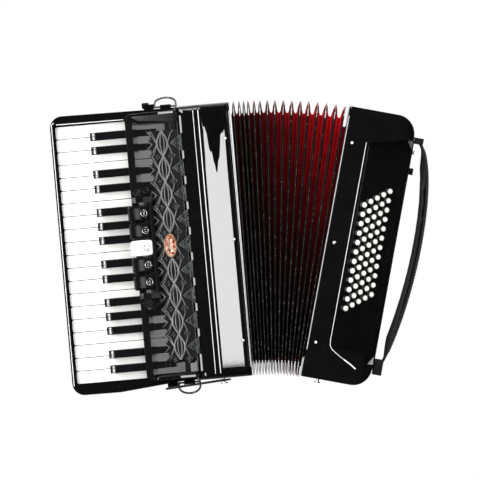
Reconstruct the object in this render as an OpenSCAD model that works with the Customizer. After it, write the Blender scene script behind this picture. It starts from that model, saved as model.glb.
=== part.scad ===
// Piano accordion: a treble box with a piano keyboard, a folded bellows and a bass box with a button board.
// The origin is the lower front-to-back centre of the face where the treble box meets the bellows.
// +Z runs up the keyboard, +X from the treble box to the bass box, and the player sits on the +Y side.
// The bellows stands fanned open about its lower edge, as it does when the instrument is shown.

/* [Boxes] */
// Height of both boxes
body_h = 398; // [394:1:402]
// Depth of both boxes from the front to the player's side
body_d = 188; // [186:1:192]
// Width of the treble box from its keyboard side to the bellows
treble_w = 76; // [74:1:80]
// Width of the bass box without its end cover
bass_w = 97; // [95:1:100]
// Width of the treble box behind the keyboard
ledge_w = 128; // [122:1:132]
// Thickness of the box walls
wall = 5; // [4:0.5:6]
// Rounding of the boxes' ends
end_r = 14; // [10:1:18]
// Rounding of the bass box's outer corners
bass_corner_r = 28; // [22:1:32]

/* [Keyboard] */
// Distance from one white key to the next
key_pitch = 18.8; // [18.6:0.1:18.9]
// Position of the white keys' front ends
key_front_x = -252; // [-254:1:-250]
// Width of a black key
black_w = 10; // [9:0.5:11]
// Height of a black key above the white ones
black_h = 11; // [9:0.5:11]
// Length of a white key in front of the black keys
black_setback = 51; // [48:1:53]
// Height of the keyboard's lowest key edge
keys_bottom_z = 8.4; // [8:0.1:8.8]
// Radius of the rod that the keys turn on
axle_r = 1.5; // [1.25:0.05:1.75]

/* [Bellows] */
// Closed thickness of one fold
fold_pitch = 4.4; // [4.2:0.1:4.6]
// Depth of the folds from ridge to valley
fold_depth = 26; // [22:1:28]
// Thickness of the wooden frames at both ends of the bellows
frame_t = 3.2; // [3:0.1:3.6]
// Angle between the two boxes
fan_angle = 15.3; // [10:0.1:16]

/* [Bass side] */
// Radius of a bass button
button_r = 4; // [3.5:0.1:4.2]
// Height of a bass button above the board
button_h = 5; // [4:0.5:6]
// Distance between buttons in a column
button_pitch = 13.88; // [13.5:0.01:14]
// Distance between columns on the board
column_pitch = 11.9; // [11.5:0.1:12.2]
// How far each column sits above the one before it
column_stagger = 6.6; // [6:0.1:7]
// Width of the hand strap
strap_w = 64; // [55:1:70]
// Thickness of the padded hand strap
strap_t = 11; // [9:0.5:12]

/* [Hidden] */
$fn = 48;

front_y = -body_d / 2;
back_y = body_d / 2;
fit_gap = 0.05;
through = 1;
// Slope of the button board
board_slope = 45;

// Number of keys, which start at G below middle C
key_count = 34;
// Keyboard: tops of the white keys, underside of the keys, and the pivot rod
key_top_y = -36;
key_under_y = -20;
key_rear_x = -110;
axle_x = -118;
axle_y = -24;
key_gap = 1;
notch_gap = 0.9;
black_front_x = key_front_x + black_setback;
black_rear_x = -146;
white_count = 20;
keys_top_z = keys_bottom_z + white_count * key_pitch;
first_pitch_class = 7;
// How far each black key sits off the line between its two white neighbours, by pitch class
black_offset = [0, 1.5, 0, -1.5, 0, 0, 1.8, 0, 0, 0, -1.8, 0];

// Keyboard bed
bed_left_x = -259.5;
bed_right_x = -treble_w;
bed_corner_r = 18;
bed_front_y = -44;
bed_floor_y = -8;
bed_back_y = 4;
bed_low_z = -8.5;
bed_high_z = 399.5;

// Valves: the pallets close the windows of the soundboard in two rows
pallet_t = 5;
pallet_l = 14;
white_pallet_y = -54;
black_pallet_y = -72.5;
soundboard_t = 4;
valve_hole = [5, 10];

// Grille: the glossy lower slope starts above the keys and the fretwork rises from it to the box
grille_low = [-148, -50];
grille_bend = [-124, -71];
grille_high = [-78, -93];
grille_t = 2.2;
grille_z0 = 8;
grille_z1 = 390;
fret_pitch = 37;
fret_count = 9;

// Register switches
register_pitch = 25;
register_mid_z = 198;
register_pivot = [-129, -79];

// Bellows
section_count = 8;
section_w = 2 * fold_pitch;
section_gap = 0.1;
closed_w = 2 * frame_t + section_count * section_w;
// Angle of each section to the treble box, as a share of the whole fan
section_share = [0, 0.078, 0.118, 0.196, 0.32, 0.471, 0.621, 0.784, 0.961];
bass_pivot_x = 47.8;
bellows_ring_w = fold_depth + 2;

// Bass box: the button board starts this far from the bellows
board_start_x = 30;
board_low_z = 48;
board_high_z = 350;
board_flare = 22;
board_t = 3;
first_button_s = 17;
first_button_z = 107.9;
buttons_per_column = 12;
cover_t = 2.5;
thumb_z = 349;
air_z = 321;
pin_x = 6.5;
bass_pin_x = 9.5;
pin_heights = [52, 199, 346];

// ---------------------------------------------------------------- helpers

// Rectangle with rounded corners
module rounded_rect(size, r) {
    translate([r, 0]) square([size[0] - 2 * r, size[1]]);
    translate([0, r]) square([size[0], size[1] - 2 * r]);
    for (x = [r, size[0] - r], y = [r, size[1] - r])
        translate([x, y]) circle(r);
}

// Outline in the Y-Z plane drawn out along X
module along_x(x0, x1) {
    translate([x0, 0, 0]) rotate([90, 0, 90]) linear_extrude(x1 - x0) children();
}

// Outline in the X-Z plane drawn out along Y
module along_y(y0, y1) {
    translate([0, y1, 0]) rotate([90, 0, 0]) linear_extrude(y1 - y0) children();
}

// Outline in the X-Y plane drawn out along Z
module along_z(z0, z1) {
    translate([0, 0, z0]) linear_extrude(z1 - z0) children();
}

module box(low, high) {
    translate(low) cube(high - low);
}

// Turn about a lower edge of the bellows at x
module swing(x, angle) {
    translate([x, 0, 0]) rotate([0, angle, 0]) translate([-x, 0, 0]) children();
}

// Place a part drawn for the closed bellows where section k stands in the fan
module fanned(k) {
    if (k == 0)
        children();
    else
        fanned(k - 1)
            swing(section_x(k), fan_angle * (section_share[k] - section_share[k - 1]))
                children();
}

function section_x(k) = frame_t + (k - 1) * section_w;

// Place a part of the bass box, whose own x starts at its bellows face
module on_bass() {
    swing(bass_pivot_x, fan_angle) translate([closed_w, 0, 0]) children();
}

// Coordinates on the button board: x along the slope, -y out of the board
module on_board() {
    on_bass() translate([board_start_x, front_y, 0]) rotate([0, 0, board_slope]) children();
}

// ---------------------------------------------------------------- keyboard layout

function pitch_class(n) = (n + first_pitch_class) % 12;
function is_black(n) = len(search(pitch_class(n), [1, 3, 6, 8, 10])) > 0;
function whites_before(n) = n == 0 ? 0 : whites_before(n - 1) + (is_black(n - 1) ? 0 : 1);
function key_z(n) = is_black(n)
    ? keys_top_z - key_pitch * whites_before(n) + black_offset[pitch_class(n)]
    : keys_top_z - key_pitch * (whites_before(n) + 0.5);

function pallet_y(n) = is_black(n) ? black_pallet_y : white_pallet_y;

// Lever and pallet of one key
module key_lever(n) {
    pallet_y = pallet_y(n);
    pallet_half = is_black(n) ? 3.5 : 4;
    pallet_x = -treble_w - pallet_t;
    along_z(key_z(n) - 1.5, key_z(n) + 1.5)
        polygon([[key_rear_x - 4, key_top_y + 6], [key_rear_x + 7, key_top_y + 4],
            [pallet_x - 4, pallet_y - 5], [pallet_x + 1, pallet_y - 5], [pallet_x + 1, pallet_y + 5],
            [pallet_x - 5, pallet_y + 5], [key_rear_x + 10, key_under_y - 2],
            [key_rear_x - 4, key_under_y - 2]]);
    box([pallet_x, pallet_y - pallet_l / 2, key_z(n) - pallet_half],
        [-treble_w - fit_gap, pallet_y + pallet_l / 2, key_z(n) + pallet_half]);
}

module axle_bore(n) {
    translate([axle_x, axle_y, key_z(n) - key_pitch]) cylinder(h = 2 * key_pitch, r = axle_r + fit_gap);
}

// Clear the black key n out of its white neighbour
module black_notch(n) {
    if (n >= 0 && n < key_count && is_black(n))
        box([black_front_x - 1.5, key_top_y - 1, key_z(n) - black_w / 2 - notch_gap],
            [key_rear_x + 1, key_under_y + 1, key_z(n) + black_w / 2 + notch_gap]);
}

module white_key(n) {
    front_r = 2.5;
    width = key_pitch - key_gap;
    difference() {
        union() {
            along_y(key_top_y, key_under_y)
                translate([key_front_x, key_z(n) - width / 2])
                    union() {
                        rounded_rect([20, width], front_r);
                        translate([front_r, 0]) square([key_rear_x - key_front_x - front_r, width]);
                    }
            key_lever(n);
        }
        black_notch(n - 1);
        black_notch(n + 1);
        axle_bore(n);
    }
}

module black_key(n) {
    lip = 5;
    difference() {
        union() {
            along_z(key_z(n) - black_w / 2, key_z(n) + black_w / 2)
                polygon([[black_front_x, key_top_y], [black_front_x + lip, key_top_y - black_h],
                    [black_rear_x, key_top_y - black_h], [black_rear_x, key_top_y],
                    [key_rear_x, key_top_y], [key_rear_x, key_under_y],
                    [black_front_x, key_under_y]]);
            key_lever(n);
        }
        axle_bore(n);
    }
}

// All keys of one name, which a shared file holds as separate solids
module keys_of(class_number) {
    for (n = [0:key_count - 1])
        if (pitch_class(n) == class_number) {
            if (is_black(n))
                color([0.05, 0.05, 0.06]) black_key(n);
            else
                color([0.95, 0.95, 0.93]) white_key(n);
        }
}

module keys_c() { keys_of(0); }
module keys_c_sharp() { keys_of(1); }
module keys_d() { keys_of(2); }
module keys_d_sharp() { keys_of(3); }
module keys_e() { keys_of(4); }
module keys_f() { keys_of(5); }
module keys_f_sharp() { keys_of(6); }
module keys_g() { keys_of(7); }
module keys_g_sharp() { keys_of(8); }
module keys_a() { keys_of(9); }
module keys_a_sharp() { keys_of(10); }
module keys_b() { keys_of(11); }

// ---------------------------------------------------------------- treble box

// Section across the treble box: a stepped, rounded front edge and a ledge behind the keyboard
module treble_section() {
    polygon([[0, front_y], [-42, front_y], [-52, front_y + 1.5], [-66, front_y + 3], [-73, front_y + 7],
        [-treble_w, front_y + 13], [-treble_w, bed_back_y], [-ledge_w, bed_back_y],
        [-ledge_w, back_y - end_r], [-ledge_w + end_r, back_y], [0, back_y]]);
}

// Section across the air chamber inside the treble box
module treble_chamber() {
    left = -treble_w + wall;
    polygon([[through, front_y + wall], [-45, front_y + wall], [-54, front_y + wall + 3.5],
        [-62, front_y + wall + 4], [left, front_y + wall + 6.5], [left, bed_back_y + wall],
        [-ledge_w + wall, bed_back_y + wall], [-ledge_w + wall, back_y - end_r],
        [-ledge_w + end_r, back_y - wall], [through, back_y - wall]]);
}

module treble_casing() {
    color([0.06, 0.06, 0.07])
    difference() {
        union() {
            intersection() {
                along_z(0, body_h) treble_section();
                along_x(-ledge_w - through, through)
                    translate([front_y, 0]) rounded_rect([body_d, body_h], end_r);
            }
            // Raised bead along the front
            box([-50, front_y - 1.2, end_r], [-43, front_y + 2, body_h - end_r]);
        }
        along_z(wall + 4, body_h - wall - 4) treble_chamber();
        // Window for the valves
        box([-treble_w - through, black_pallet_y - 9, 14],
            [-treble_w + wall + through, white_pallet_y + 9, 384]);
        frame_pin_holes(-pin_x);
    }
}

module frame_pin_holes(x) {
    for (z = pin_heights, side = [-1, 1])
        translate([x, side * back_y, z]) rotate([90, 0, 0])
            cylinder(h = 2 * wall + 2, r = 1.3 + fit_gap, center = true);
}

// Nails that hold the bellows frame: round heads on the front, sunk flush on the player's side
module frame_pins(x) {
    nail_r = 1.3;
    nail_len = 4;
    for (z = pin_heights) {
        translate([x, front_y, z]) rotate([90, 0, 0]) {
            translate([0, 0, -nail_len]) cylinder(h = nail_len + 0.4, r = nail_r);
            translate([0, 0, 0.02]) cylinder(h = 1.2, r = 2.4);
        }
        translate([x, back_y - nail_len, z]) rotate([-90, 0, 0]) cylinder(h = nail_len - 0.05, r = nail_r);
    }
}

module treble_frame_pins() {
    color([0.8, 0.8, 0.82]) frame_pins(-pin_x);
}

module keyboard_bed() {
    color([0.06, 0.06, 0.07])
    difference() {
        along_y(bed_front_y, bed_back_y) {
            polygon([[bed_left_x + bed_corner_r, bed_low_z + 0.5], [-190, bed_low_z],
                [bed_right_x, 2], [bed_right_x, 395.5], [-119, 398],
                [bed_left_x + bed_corner_r, bed_high_z]]);
            translate([bed_left_x, bed_low_z + 0.5 + bed_corner_r])
                square([bed_corner_r + 1, bed_high_z - bed_low_z - 0.5 - 2 * bed_corner_r]);
            for (z = [bed_low_z + 0.5 + bed_corner_r, bed_high_z - bed_corner_r])
                translate([bed_left_x + bed_corner_r, z]) circle(bed_corner_r);
        }
        box([key_front_x - 1.5, bed_front_y - 1, keys_bottom_z - 0.8],
            [bed_right_x + 1, bed_floor_y, keys_top_z + 0.8]);
        translate([axle_x, axle_y, 2]) cylinder(h = 390, r = axle_r + 0.02);
    }
}

module key_axle() {
    color([0.75, 0.76, 0.78]) translate([axle_x, axle_y, 2.5]) cylinder(h = 389, r = axle_r);
}

// Coiled return springs between the bed and the keys, one under each key
module key_springs() {
    turns = 5;
    spring_len = 10;
    color([0.7, 0.65, 0.45])
    for (n = [0:key_count - 1])
        translate([-136, bed_floor_y, key_z(n)]) rotate([90, 0, 0])
            rotate_extrude($fn = 24)
                polygon(concat([[1.2, 0]],
                    [for (i = [0:2 * turns]) [i % 2 == 0 ? 2 : 2.7, i * spring_len / (2 * turns)]],
                    [[1.2, spring_len]]));
}

module treble_soundboard() {
    color([0.8, 0.68, 0.48])
    difference() {
        box([-treble_w + wall + fit_gap, black_pallet_y - 9, 11],
            [-treble_w + wall + soundboard_t, 78, body_h - 11]);
        for (n = [0:key_count - 1])
            translate([-treble_w + wall + soundboard_t / 2, pallet_y(n), key_z(n)])
                cube([soundboard_t + 2, valve_hole[1], valve_hole[0]], center = true);
    }
    // Seats that reach through the window of the box to the pallets
    color([0.8, 0.68, 0.48])
    for (n = [0:key_count - 1])
        translate([0, pallet_y(n), key_z(n)])
            difference() {
                box([-treble_w, -6.5, -3.4], [-treble_w + wall + 0.5, 6.5, 3.4]);
                box([-treble_w - 1, -valve_hole[1] / 2, -valve_hole[0] / 2],
                    [-treble_w + wall + 1, valve_hole[1] / 2, valve_hole[0] / 2]);
            }
}

reed_block_y = [-66, -22, 22];
reed_block_t = 20;
reed_chambers = 12;
reed_block_z0 = 24;
chamber_pitch = 29;

module treble_reed_blocks() {
    color([0.82, 0.7, 0.5])
    for (y = reed_block_y)
        difference() {
            box([-66.9, y, reed_block_z0],
                [-14, y + reed_block_t, reed_block_z0 + reed_chambers * chamber_pitch]);
            for (i = [0:reed_chambers - 1])
                box([-60, y - 1, reed_block_z0 + i * chamber_pitch + 4],
                    [-20, y + reed_block_t + 1, reed_block_z0 + (i + 1) * chamber_pitch - 4]);
        }
}

module treble_reed_plates() {
    plate_t = 1.5;
    color([0.78, 0.79, 0.8])
    for (y = reed_block_y, i = [0:reed_chambers - 1], plate_y = [y - plate_t - 0.1, y + reed_block_t + 0.1])
        translate([-62, plate_y, reed_block_z0 + i * chamber_pitch + 2])
            cube([44, plate_t, chamber_pitch - 4]);
}

module treble_bellows_frame() {
    color([0.75, 0.75, 0.77]) bellows_ring(0, frame_t - section_gap, bellows_ring_w, 0);
}

// Rectangular ring across the bellows
module bellows_ring(x0, x1, ring_w, inset) {
    along_x(x0, x1)
        difference() {
            translate([front_y + inset, inset])
                rounded_rect([body_d - 2 * inset, body_h - 2 * inset], 6);
            translate([front_y + ring_w, ring_w])
                square([body_d - 2 * ring_w, body_h - 2 * ring_w]);
        }
}

// ---------------------------------------------------------------- grille and registers

// Line across the grille from its key edge to the box, moved inwards by depth
function grille_line(depth) = [for (corner = [grille_low, grille_bend, grille_high]) corner + [0, depth]];

module grille_sheet(depth, thick) {
    polygon(concat(grille_line(depth), [for (i = [2:-1:0]) grille_line(depth + thick)[i]]));
}

function fret_z(i) = register_mid_z + (i - (fret_count - 1) / 2) * fret_pitch;

// Openings of one repeat of the fretwork
module fret_openings() {
    half = fret_pitch / 2;
    for (side = [-1, 1])
        polygon([[-101 + side * 1.5, 0], [-101 + side * 6.5, half - 8], [-101 + side * 1.5, half - 3]]);
    for (side = [-1, 1])
        polygon([[-101 + side * 1.5, -3], [-101 + side * 1.5, -half + 3], [-101 + side * 6.5, -half + 8]]);
    translate([-114, 0]) rotate(45) square([7, 7], center = true);
    translate([-88, 0]) rotate(45) square([7, 7], center = true);
}

module treble_grille() {
    color([0.09, 0.09, 0.1])
    difference() {
        union() {
            along_z(grille_z0, grille_z1) grille_sheet(0, grille_t);
            for (z = [grille_z0, grille_z1 - grille_t])
                along_z(z, z + grille_t)
                    polygon([grille_low + [0, 0.5], grille_bend + [0, 0.5], grille_high + [0, 0.5],
                        [grille_high[0], -50], [grille_low[0] + 4, -46]]);
        }
        for (i = [0:fret_count - 1])
            if (abs(fret_z(i) - register_mid_z) > 1)
                translate([0, 0, fret_z(i)]) along_y(-110, -60) fret_openings();
    }
}

module grille_cloth() {
    cloth_depth = grille_t + 1;
    cloth_t = 0.6;
    color([0.2, 0.2, 0.21])
    along_z(grille_z0 + grille_t + 1, grille_z1 - grille_t - 1)
        polygon([grille_bend + [1, cloth_depth], grille_high + [-1, cloth_depth],
            grille_high + [-1, cloth_depth + cloth_t], grille_bend + [1, cloth_depth + cloth_t]]);
}

module register_rack() {
    rack_half = 74;
    color([0.12, 0.12, 0.13])
    difference() {
        union() {
            along_z(register_mid_z - rack_half, register_mid_z + rack_half)
                polygon([[-133, -63.6], [-126, -69.9], [-119.5, -74.1], [-119.5, -80], [-123.5, -80],
                    [-126, -76], [-133, -73]]);
            // Curved end pieces
            for (side = [-1, 1])
                translate([0, 0, register_mid_z + side * (rack_half - 4)])
                    along_z(-4, 4)
                        polygon([[-150, -56], [-133, -63.6], [-126, -69.9], [-119.5, -74.1],
                            [-119.5, -81], [-133, -84], [-144, -76]]);
        }
        translate([register_pivot[0], register_pivot[1], register_mid_z - rack_half - 1])
            cylinder(h = 2 * rack_half + 2, r = 1.0);
    }
    // Rod that the switches rock on
    color([0.7, 0.7, 0.72])
    translate([register_pivot[0], register_pivot[1], register_mid_z - rack_half + 1])
        cylinder(h = 2 * rack_half - 2, r = 0.98);
}

// Rocker switch with a round marker on its face; number 1 is the highest
module register_switch(number) {
    z = register_mid_z + (3 - number) * register_pitch;
    tint = number == 3 ? [0.95, 0.95, 0.93] : [0.06, 0.06, 0.07];
    half = 11.6;
    color(tint)
    difference() {
        union() {
            along_z(z - half, z + half)
                polygon([[-157, -72], [-152, -79], [-142, -84], [-131, -85], [-125.5, -82.5],
                    [-125.5, -79.5], [-130, -77], [-134, -76.5], [-146, -71]]);
            translate([-134, -83.5, z]) rotate([90, 0, 0]) cylinder(h = 2, r = 4.6);
        }
        translate([register_pivot[0], register_pivot[1], z - 2 * half]) cylinder(h = 4 * half, r = 1.04);
    }
}

module register_switch_1() { register_switch(1); }
module register_switch_2() { register_switch(2); }
module register_switch_3() { register_switch(3); }
module register_switch_4() { register_switch(4); }
module register_switch_5() { register_switch(5); }

// Plain oval badge in the middle of the grille
module emblem() {
    badge_x = -99;
    rise = (grille_bend[1] - grille_high[1]) / (grille_high[0] - grille_bend[0]);
    slope = atan(rise);
    badge_mid = [badge_x, grille_bend[1] - rise * (badge_x - grille_bend[0]) - 0.05, register_mid_z];
    color([0.75, 0.58, 0.25])
    translate(badge_mid) rotate([0, 0, -slope]) rotate([90, 0, 0]) {
        cylinder(h = 2, r = 9.5);
        for (side = [-1, 1])
            translate([0, side * 9.5, 0]) cylinder(h = 2, r = 8);
    }
}

// ---------------------------------------------------------------- strap fittings

ring_bar_z = 4.2;
ring_mid_x = -90;
ring_half_w = 15.5;
ring_wire_r = 1.5;
bracket_y = 58;

// Bracket for a shoulder strap ring, drawn on the plane z = 0
module strap_bracket() {
    difference() {
        union() {
            box([-122, bracket_y - 12, 0], [-107, bracket_y + 12, 9]);
            box([-112, bracket_y - 8, 0], [-72, bracket_y + 8, 1.6]);
            translate([-98, bracket_y, ring_bar_z]) rotate([0, 90, 0]) cylinder(h = 16, r = 3);
            box([-98, bracket_y - 3, 1], [-82, bracket_y + 3, ring_bar_z]);
        }
        translate([-112, bracket_y, ring_bar_z]) rotate([0, 90, 0])
            cylinder(h = 44, r = ring_wire_r + fit_gap);
        box([-106.9, bracket_y - 3, ring_bar_z - 2], [-98.1, bracket_y + 3, 12]);
    }
}

// Seat the fitting on the top of the boxes, or turned over on the bottom
module at_end(top) {
    if (top)
        translate([0, 0, body_h]) children();
    else
        mirror([0, 0, 1]) children();
}

module strap_brackets() {
    color([0.1, 0.1, 0.11]) {
        at_end(true) strap_bracket();
        at_end(false) strap_bracket();
    }
}

// D-shaped wire ring; it leans away from the front by the lean angle
module strap_ring(lean) {
    reach = 10;
    color([0.8, 0.8, 0.82])
    translate([ring_mid_x, bracket_y, ring_bar_z]) rotate([-lean, 0, 0]) {
        translate([-ring_half_w, 0, 0]) rotate([0, 90, 0]) cylinder(h = 2 * ring_half_w, r = ring_wire_r);
        for (side = [-1, 1])
            translate([side * ring_half_w, 0, 0]) {
                sphere(r = ring_wire_r);
                cylinder(h = reach, r = ring_wire_r);
            }
        translate([0, 0, reach]) rotate([90, 0, 0])
            rotate_extrude(angle = 180) translate([ring_half_w, 0]) circle(r = ring_wire_r);
    }
}

module top_strap_ring() {
    at_end(true) strap_ring(58);
}

module bottom_strap_ring() {
    at_end(false) strap_ring(50);
}

stud_x = -38.7;
closing_y = -66;

// Leather strap that holds the closed bellows, hanging along the bottom
module closing_strap() {
    color([0.08, 0.07, 0.07])
    difference() {
        along_y(closing_y - 11, closing_y + 11)
            polygon([[-124, -7.4], [-28, -1.2], [-28, -4.2], [-124, -10.4]]);
        translate([stud_x, closing_y, -12]) cylinder(h = 14, r = 2.5);
    }
}

module closing_stud() {
    cylinder(h = 7.4, r = 2);
    translate([0, 0, -0.8]) cylinder(h = 1.8, r = 5);
}

module treble_strap_stud() {
    color([0.8, 0.8, 0.82]) translate([stud_x, closing_y, -7.4]) closing_stud();
}

// ---------------------------------------------------------------- bellows

// Two folds of the bellows: two ridges with a groove between them
module bellows_section(k) {
    x0 = section_x(k) + section_gap / 2;
    x1 = section_x(k + 1) - section_gap / 2;
    groove = 1.6;
    mid = (x0 + x1) / 2;
    relief = 5;
    relief_h = 165;
    color(k % 2 == 0 ? [0.55, 0.08, 0.1] : [0.12, 0.12, 0.13])
    fanned(k)
        difference() {
            union() {
                bellows_ring(x0, mid - groove / 2, bellows_ring_w, 0);
                bellows_ring(mid - groove / 2, mid + groove / 2, bellows_ring_w, fold_depth / 2);
                bellows_ring(mid + groove / 2, x1, bellows_ring_w, 0);
            }
            // The last section leans clear of the bass frame when the fan is wide open
            if (k == section_count)
                along_y(front_y - 1, back_y + 1)
                    polygon([[x1 + 1, relief_h], [x1, relief_h], [x1 - relief, -1], [x1 + 1, -1]]);
        }
}

module bellows_section_1() { bellows_section(1); }
module bellows_section_2() { bellows_section(2); }
module bellows_section_3() { bellows_section(3); }
module bellows_section_4() { bellows_section(4); }
module bellows_section_5() { bellows_section(5); }
module bellows_section_6() { bellows_section(6); }
module bellows_section_7() { bellows_section(7); }
module bellows_section_8() { bellows_section(8); }

module bass_bellows_frame() {
    color([0.75, 0.75, 0.77])
    on_bass() bellows_ring(-frame_t + section_gap, 0, bellows_ring_w, 0);
}

// ---------------------------------------------------------------- bass box

// Solid body of the bass box, drawn smaller by inset
module bass_block(inset, x0) {
    r = bass_corner_r - inset;
    intersection() {
        along_z(inset, body_h - inset)
            polygon([[x0, front_y + inset], [bass_w - end_r, front_y + inset],
                [bass_w - inset, front_y + end_r], [bass_w - inset, back_y - end_r],
                [bass_w - end_r, back_y - inset], [x0, back_y - inset]]);
        along_y(front_y - 1, back_y + 1)
            union() {
                translate([x0, inset]) square([bass_w - inset - r - x0, body_h - 2 * inset]);
                translate([x0, inset + r]) square([bass_w - inset - x0, body_h - 2 * inset - 2 * r]);
                for (z = [inset + r, body_h - inset - r])
                    translate([bass_w - inset - r, z]) circle(r);
            }
    }
}

module bass_casing() {
    color([0.06, 0.06, 0.07]) {
        on_bass()
            difference() {
                bass_block(0, 0);
                difference() {
                    bass_block(wall, -through);
                    // The slope stays closed behind the button board
                    translate([board_start_x, front_y, 0]) rotate([0, 0, board_slope])
                        box([-40, -80, 0], [120, wall, body_h]);
                }
                // Recess for the button board, flared towards its two ends
                translate([board_start_x, front_y, 0]) rotate([0, 0, board_slope])
                    along_x(-5, 110)
                        polygon([[0, board_low_z], [-60, board_low_z - board_flare],
                            [-60, board_high_z + board_flare], [0, board_high_z]]);
                // Window that the board fills
                translate([board_start_x, front_y, 0]) rotate([0, 0, board_slope])
                    box([6, -1, board_low_z + 2], [84, wall + 2, board_high_z - 2]);
                frame_pin_holes(bass_pin_x);
                end_openings();
            }
    }
}

module bass_frame_pins() {
    color([0.8, 0.8, 0.82]) on_bass() frame_pins(bass_pin_x);
}

// Slot for the strap adjuster and hole for the air button
module end_openings() {
    box([bass_w - wall - 1, -11, thumb_z - 5], [bass_w + cover_t + 1, 11, thumb_z + 5]);
    translate([bass_w - wall - 1, -15, air_z]) rotate([0, 90, 0])
        cylinder(h = wall + cover_t + 2, r = 5 + fit_gap);
}

module bass_end_cover() {
    color([0.07, 0.07, 0.08])
    on_bass()
        difference() {
            along_x(bass_w + 0.02, bass_w + cover_t)
                translate([-22, 26]) rounded_rect([96, body_h - 52], 12);
            end_openings();
        }
}

// Button centres on the board
function button_s(column) = first_button_s + (column - 1) * column_pitch;
function button_z(column, row) = first_button_z + (column - 1) * column_stagger + row * button_pitch;

module bass_button_board() {
    color([0.08, 0.08, 0.09])
    on_board()
        difference() {
            box([6.05, 0, board_low_z + 2.05], [83.95, board_t, board_high_z - 2.05]);
            for (column = [1:5], row = [0:buttons_per_column - 1])
                translate([button_s(column), -1, button_z(column, row)]) rotate([-90, 0, 0])
                    cylinder(h = board_t + 2, r = button_r + fit_gap);
        }
}

// One column of buttons, each with its stem behind the board
module bass_buttons(column) {
    color([0.93, 0.92, 0.86])
    on_board()
        for (row = [0:buttons_per_column - 1])
            translate([button_s(column), -button_h, button_z(column, row)]) rotate([-90, 0, 0])
                difference() {
                    union() {
                        cylinder(h = button_h + board_t + 0.5, r = button_r);
                        cylinder(h = button_h + board_t + 8, r = 1.4);
                    }
                    translate([0, 0, -0.1]) cylinder(h = 0.5, r = 1.3);
                }
}

module bass_buttons_1() { bass_buttons(1); }
module bass_buttons_2() { bass_buttons(2); }
module bass_buttons_3() { bass_buttons(3); }
module bass_buttons_4() { bass_buttons(4); }
module bass_buttons_5() { bass_buttons(5); }

module bass_reed_block() {
    color([0.82, 0.7, 0.5])
    on_bass()
        for (y = [-44, 12])
            difference() {
                box([6, y, 44], [38, y + 24, 350]);
                for (i = [0:11])
                    box([12, y - 1, 50 + i * 25], [34, y + 25, 68 + i * 25]);
            }
}

// Rods that carry a button's movement to the valves, in two end plates
module bass_machine() {
    color([0.7, 0.71, 0.73])
    on_bass() {
        for (z = [36, 356])
            box([56, 6, z], [86, 80, z + 3]);
        for (row = [0:3], column = [0:2])
            translate([62 + column * 9, 14 + row * 18, 38]) cylinder(h = 319, r = 1.5);
    }
}

module air_button() {
    color([0.93, 0.92, 0.86])
    on_bass()
        translate([bass_w - 26, -15, air_z]) rotate([0, 90, 0]) {
            cylinder(h = 26 + cover_t + 6, r = 5);
            cylinder(h = 3, r = 9);
        }
}

// Thumbwheel that tightens the hand strap
module strap_adjuster() {
    color([0.6, 0.6, 0.62])
    on_bass()
        translate([bass_w - 3, 0, thumb_z - 3]) {
            cylinder(h = 6, r = 8);
            for (i = [0:11])
                rotate([0, 0, i * 30]) translate([8, 0, 0]) cylinder(h = 6, r = 0.8);
        }
}

// Centre line of the hand strap: a Bezier curve in the box's own x and z
strap_ends = [[109, 358], [139, 312], [139, 150], [110, 47]];
strap_steps = 24;

function bezier(p, t) = pow(1 - t, 3) * p[0] + 3 * t * pow(1 - t, 2) * p[1]
    + 3 * t * t * (1 - t) * p[2] + pow(t, 3) * p[3];
function bezier_way(p, t) = 3 * pow(1 - t, 2) * (p[1] - p[0]) + 6 * t * (1 - t) * (p[2] - p[1])
    + 3 * t * t * (p[3] - p[2]);
function beside(p, t, d) = let (way = bezier_way(p, t)) bezier(p, t) + d * [way[1], -way[0]] / norm(way);

module bass_strap() {
    color([0.08, 0.08, 0.09])
    on_bass()
        along_y(-strap_w / 2, strap_w / 2)
            polygon(concat([for (i = [0:strap_steps]) beside(strap_ends, i / strap_steps, -strap_t / 2)],
                [for (i = [strap_steps:-1:0]) beside(strap_ends, i / strap_steps, strap_t / 2)]));
}

module bass_strap_brackets() {
    color([0.1, 0.1, 0.11])
    on_bass() {
        box([bass_w + cover_t + 0.02, -34, 362.5], [bass_w + cover_t + 13, 34, 371]);
        box([bass_w + cover_t + 0.02, -34, 20], [bass_w + cover_t + 13, 34, 43]);
    }
}

module bass_strap_stud() {
    color([0.8, 0.8, 0.82]) on_bass() translate([22.3, closing_y, -5]) {
        cylinder(h = 5, r = 2);
        translate([0, 0, -0.8]) cylinder(h = 1.8, r = 4);
    }
}

// ---------------------------------------------------------------- parts

treble_casing();
keyboard_bed();
key_axle();
key_springs();
treble_grille();
grille_cloth();
register_rack();
treble_soundboard();
treble_reed_blocks();
treble_reed_plates();
treble_bellows_frame();
treble_frame_pins();
strap_brackets();
emblem();
closing_strap();
treble_strap_stud();
keys_g();
keys_g_sharp();
keys_a();
keys_a_sharp();
keys_b();
keys_c();
keys_c_sharp();
keys_d();
keys_d_sharp();
keys_e();
keys_f();
keys_f_sharp();
register_switch_1();
register_switch_2();
register_switch_3();
register_switch_4();
register_switch_5();
top_strap_ring();
bottom_strap_ring();
bellows_section_1();
bellows_section_2();
bellows_section_3();
bellows_section_4();
bellows_section_5();
bellows_section_6();
bellows_section_7();
bellows_section_8();
bass_casing();
bass_button_board();
bass_end_cover();
bass_reed_block();
bass_machine();
bass_bellows_frame();
bass_frame_pins();
bass_strap_brackets();
bass_strap();
bass_strap_stud();
bass_buttons_1();
bass_buttons_2();
bass_buttons_3();
bass_buttons_4();
bass_buttons_5();
air_button();
strap_adjuster();
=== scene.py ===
from math import atan2, cos, hypot, pi, radians, sin, sqrt

import bmesh
import bpy
from mathutils import Matrix, Vector


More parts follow.
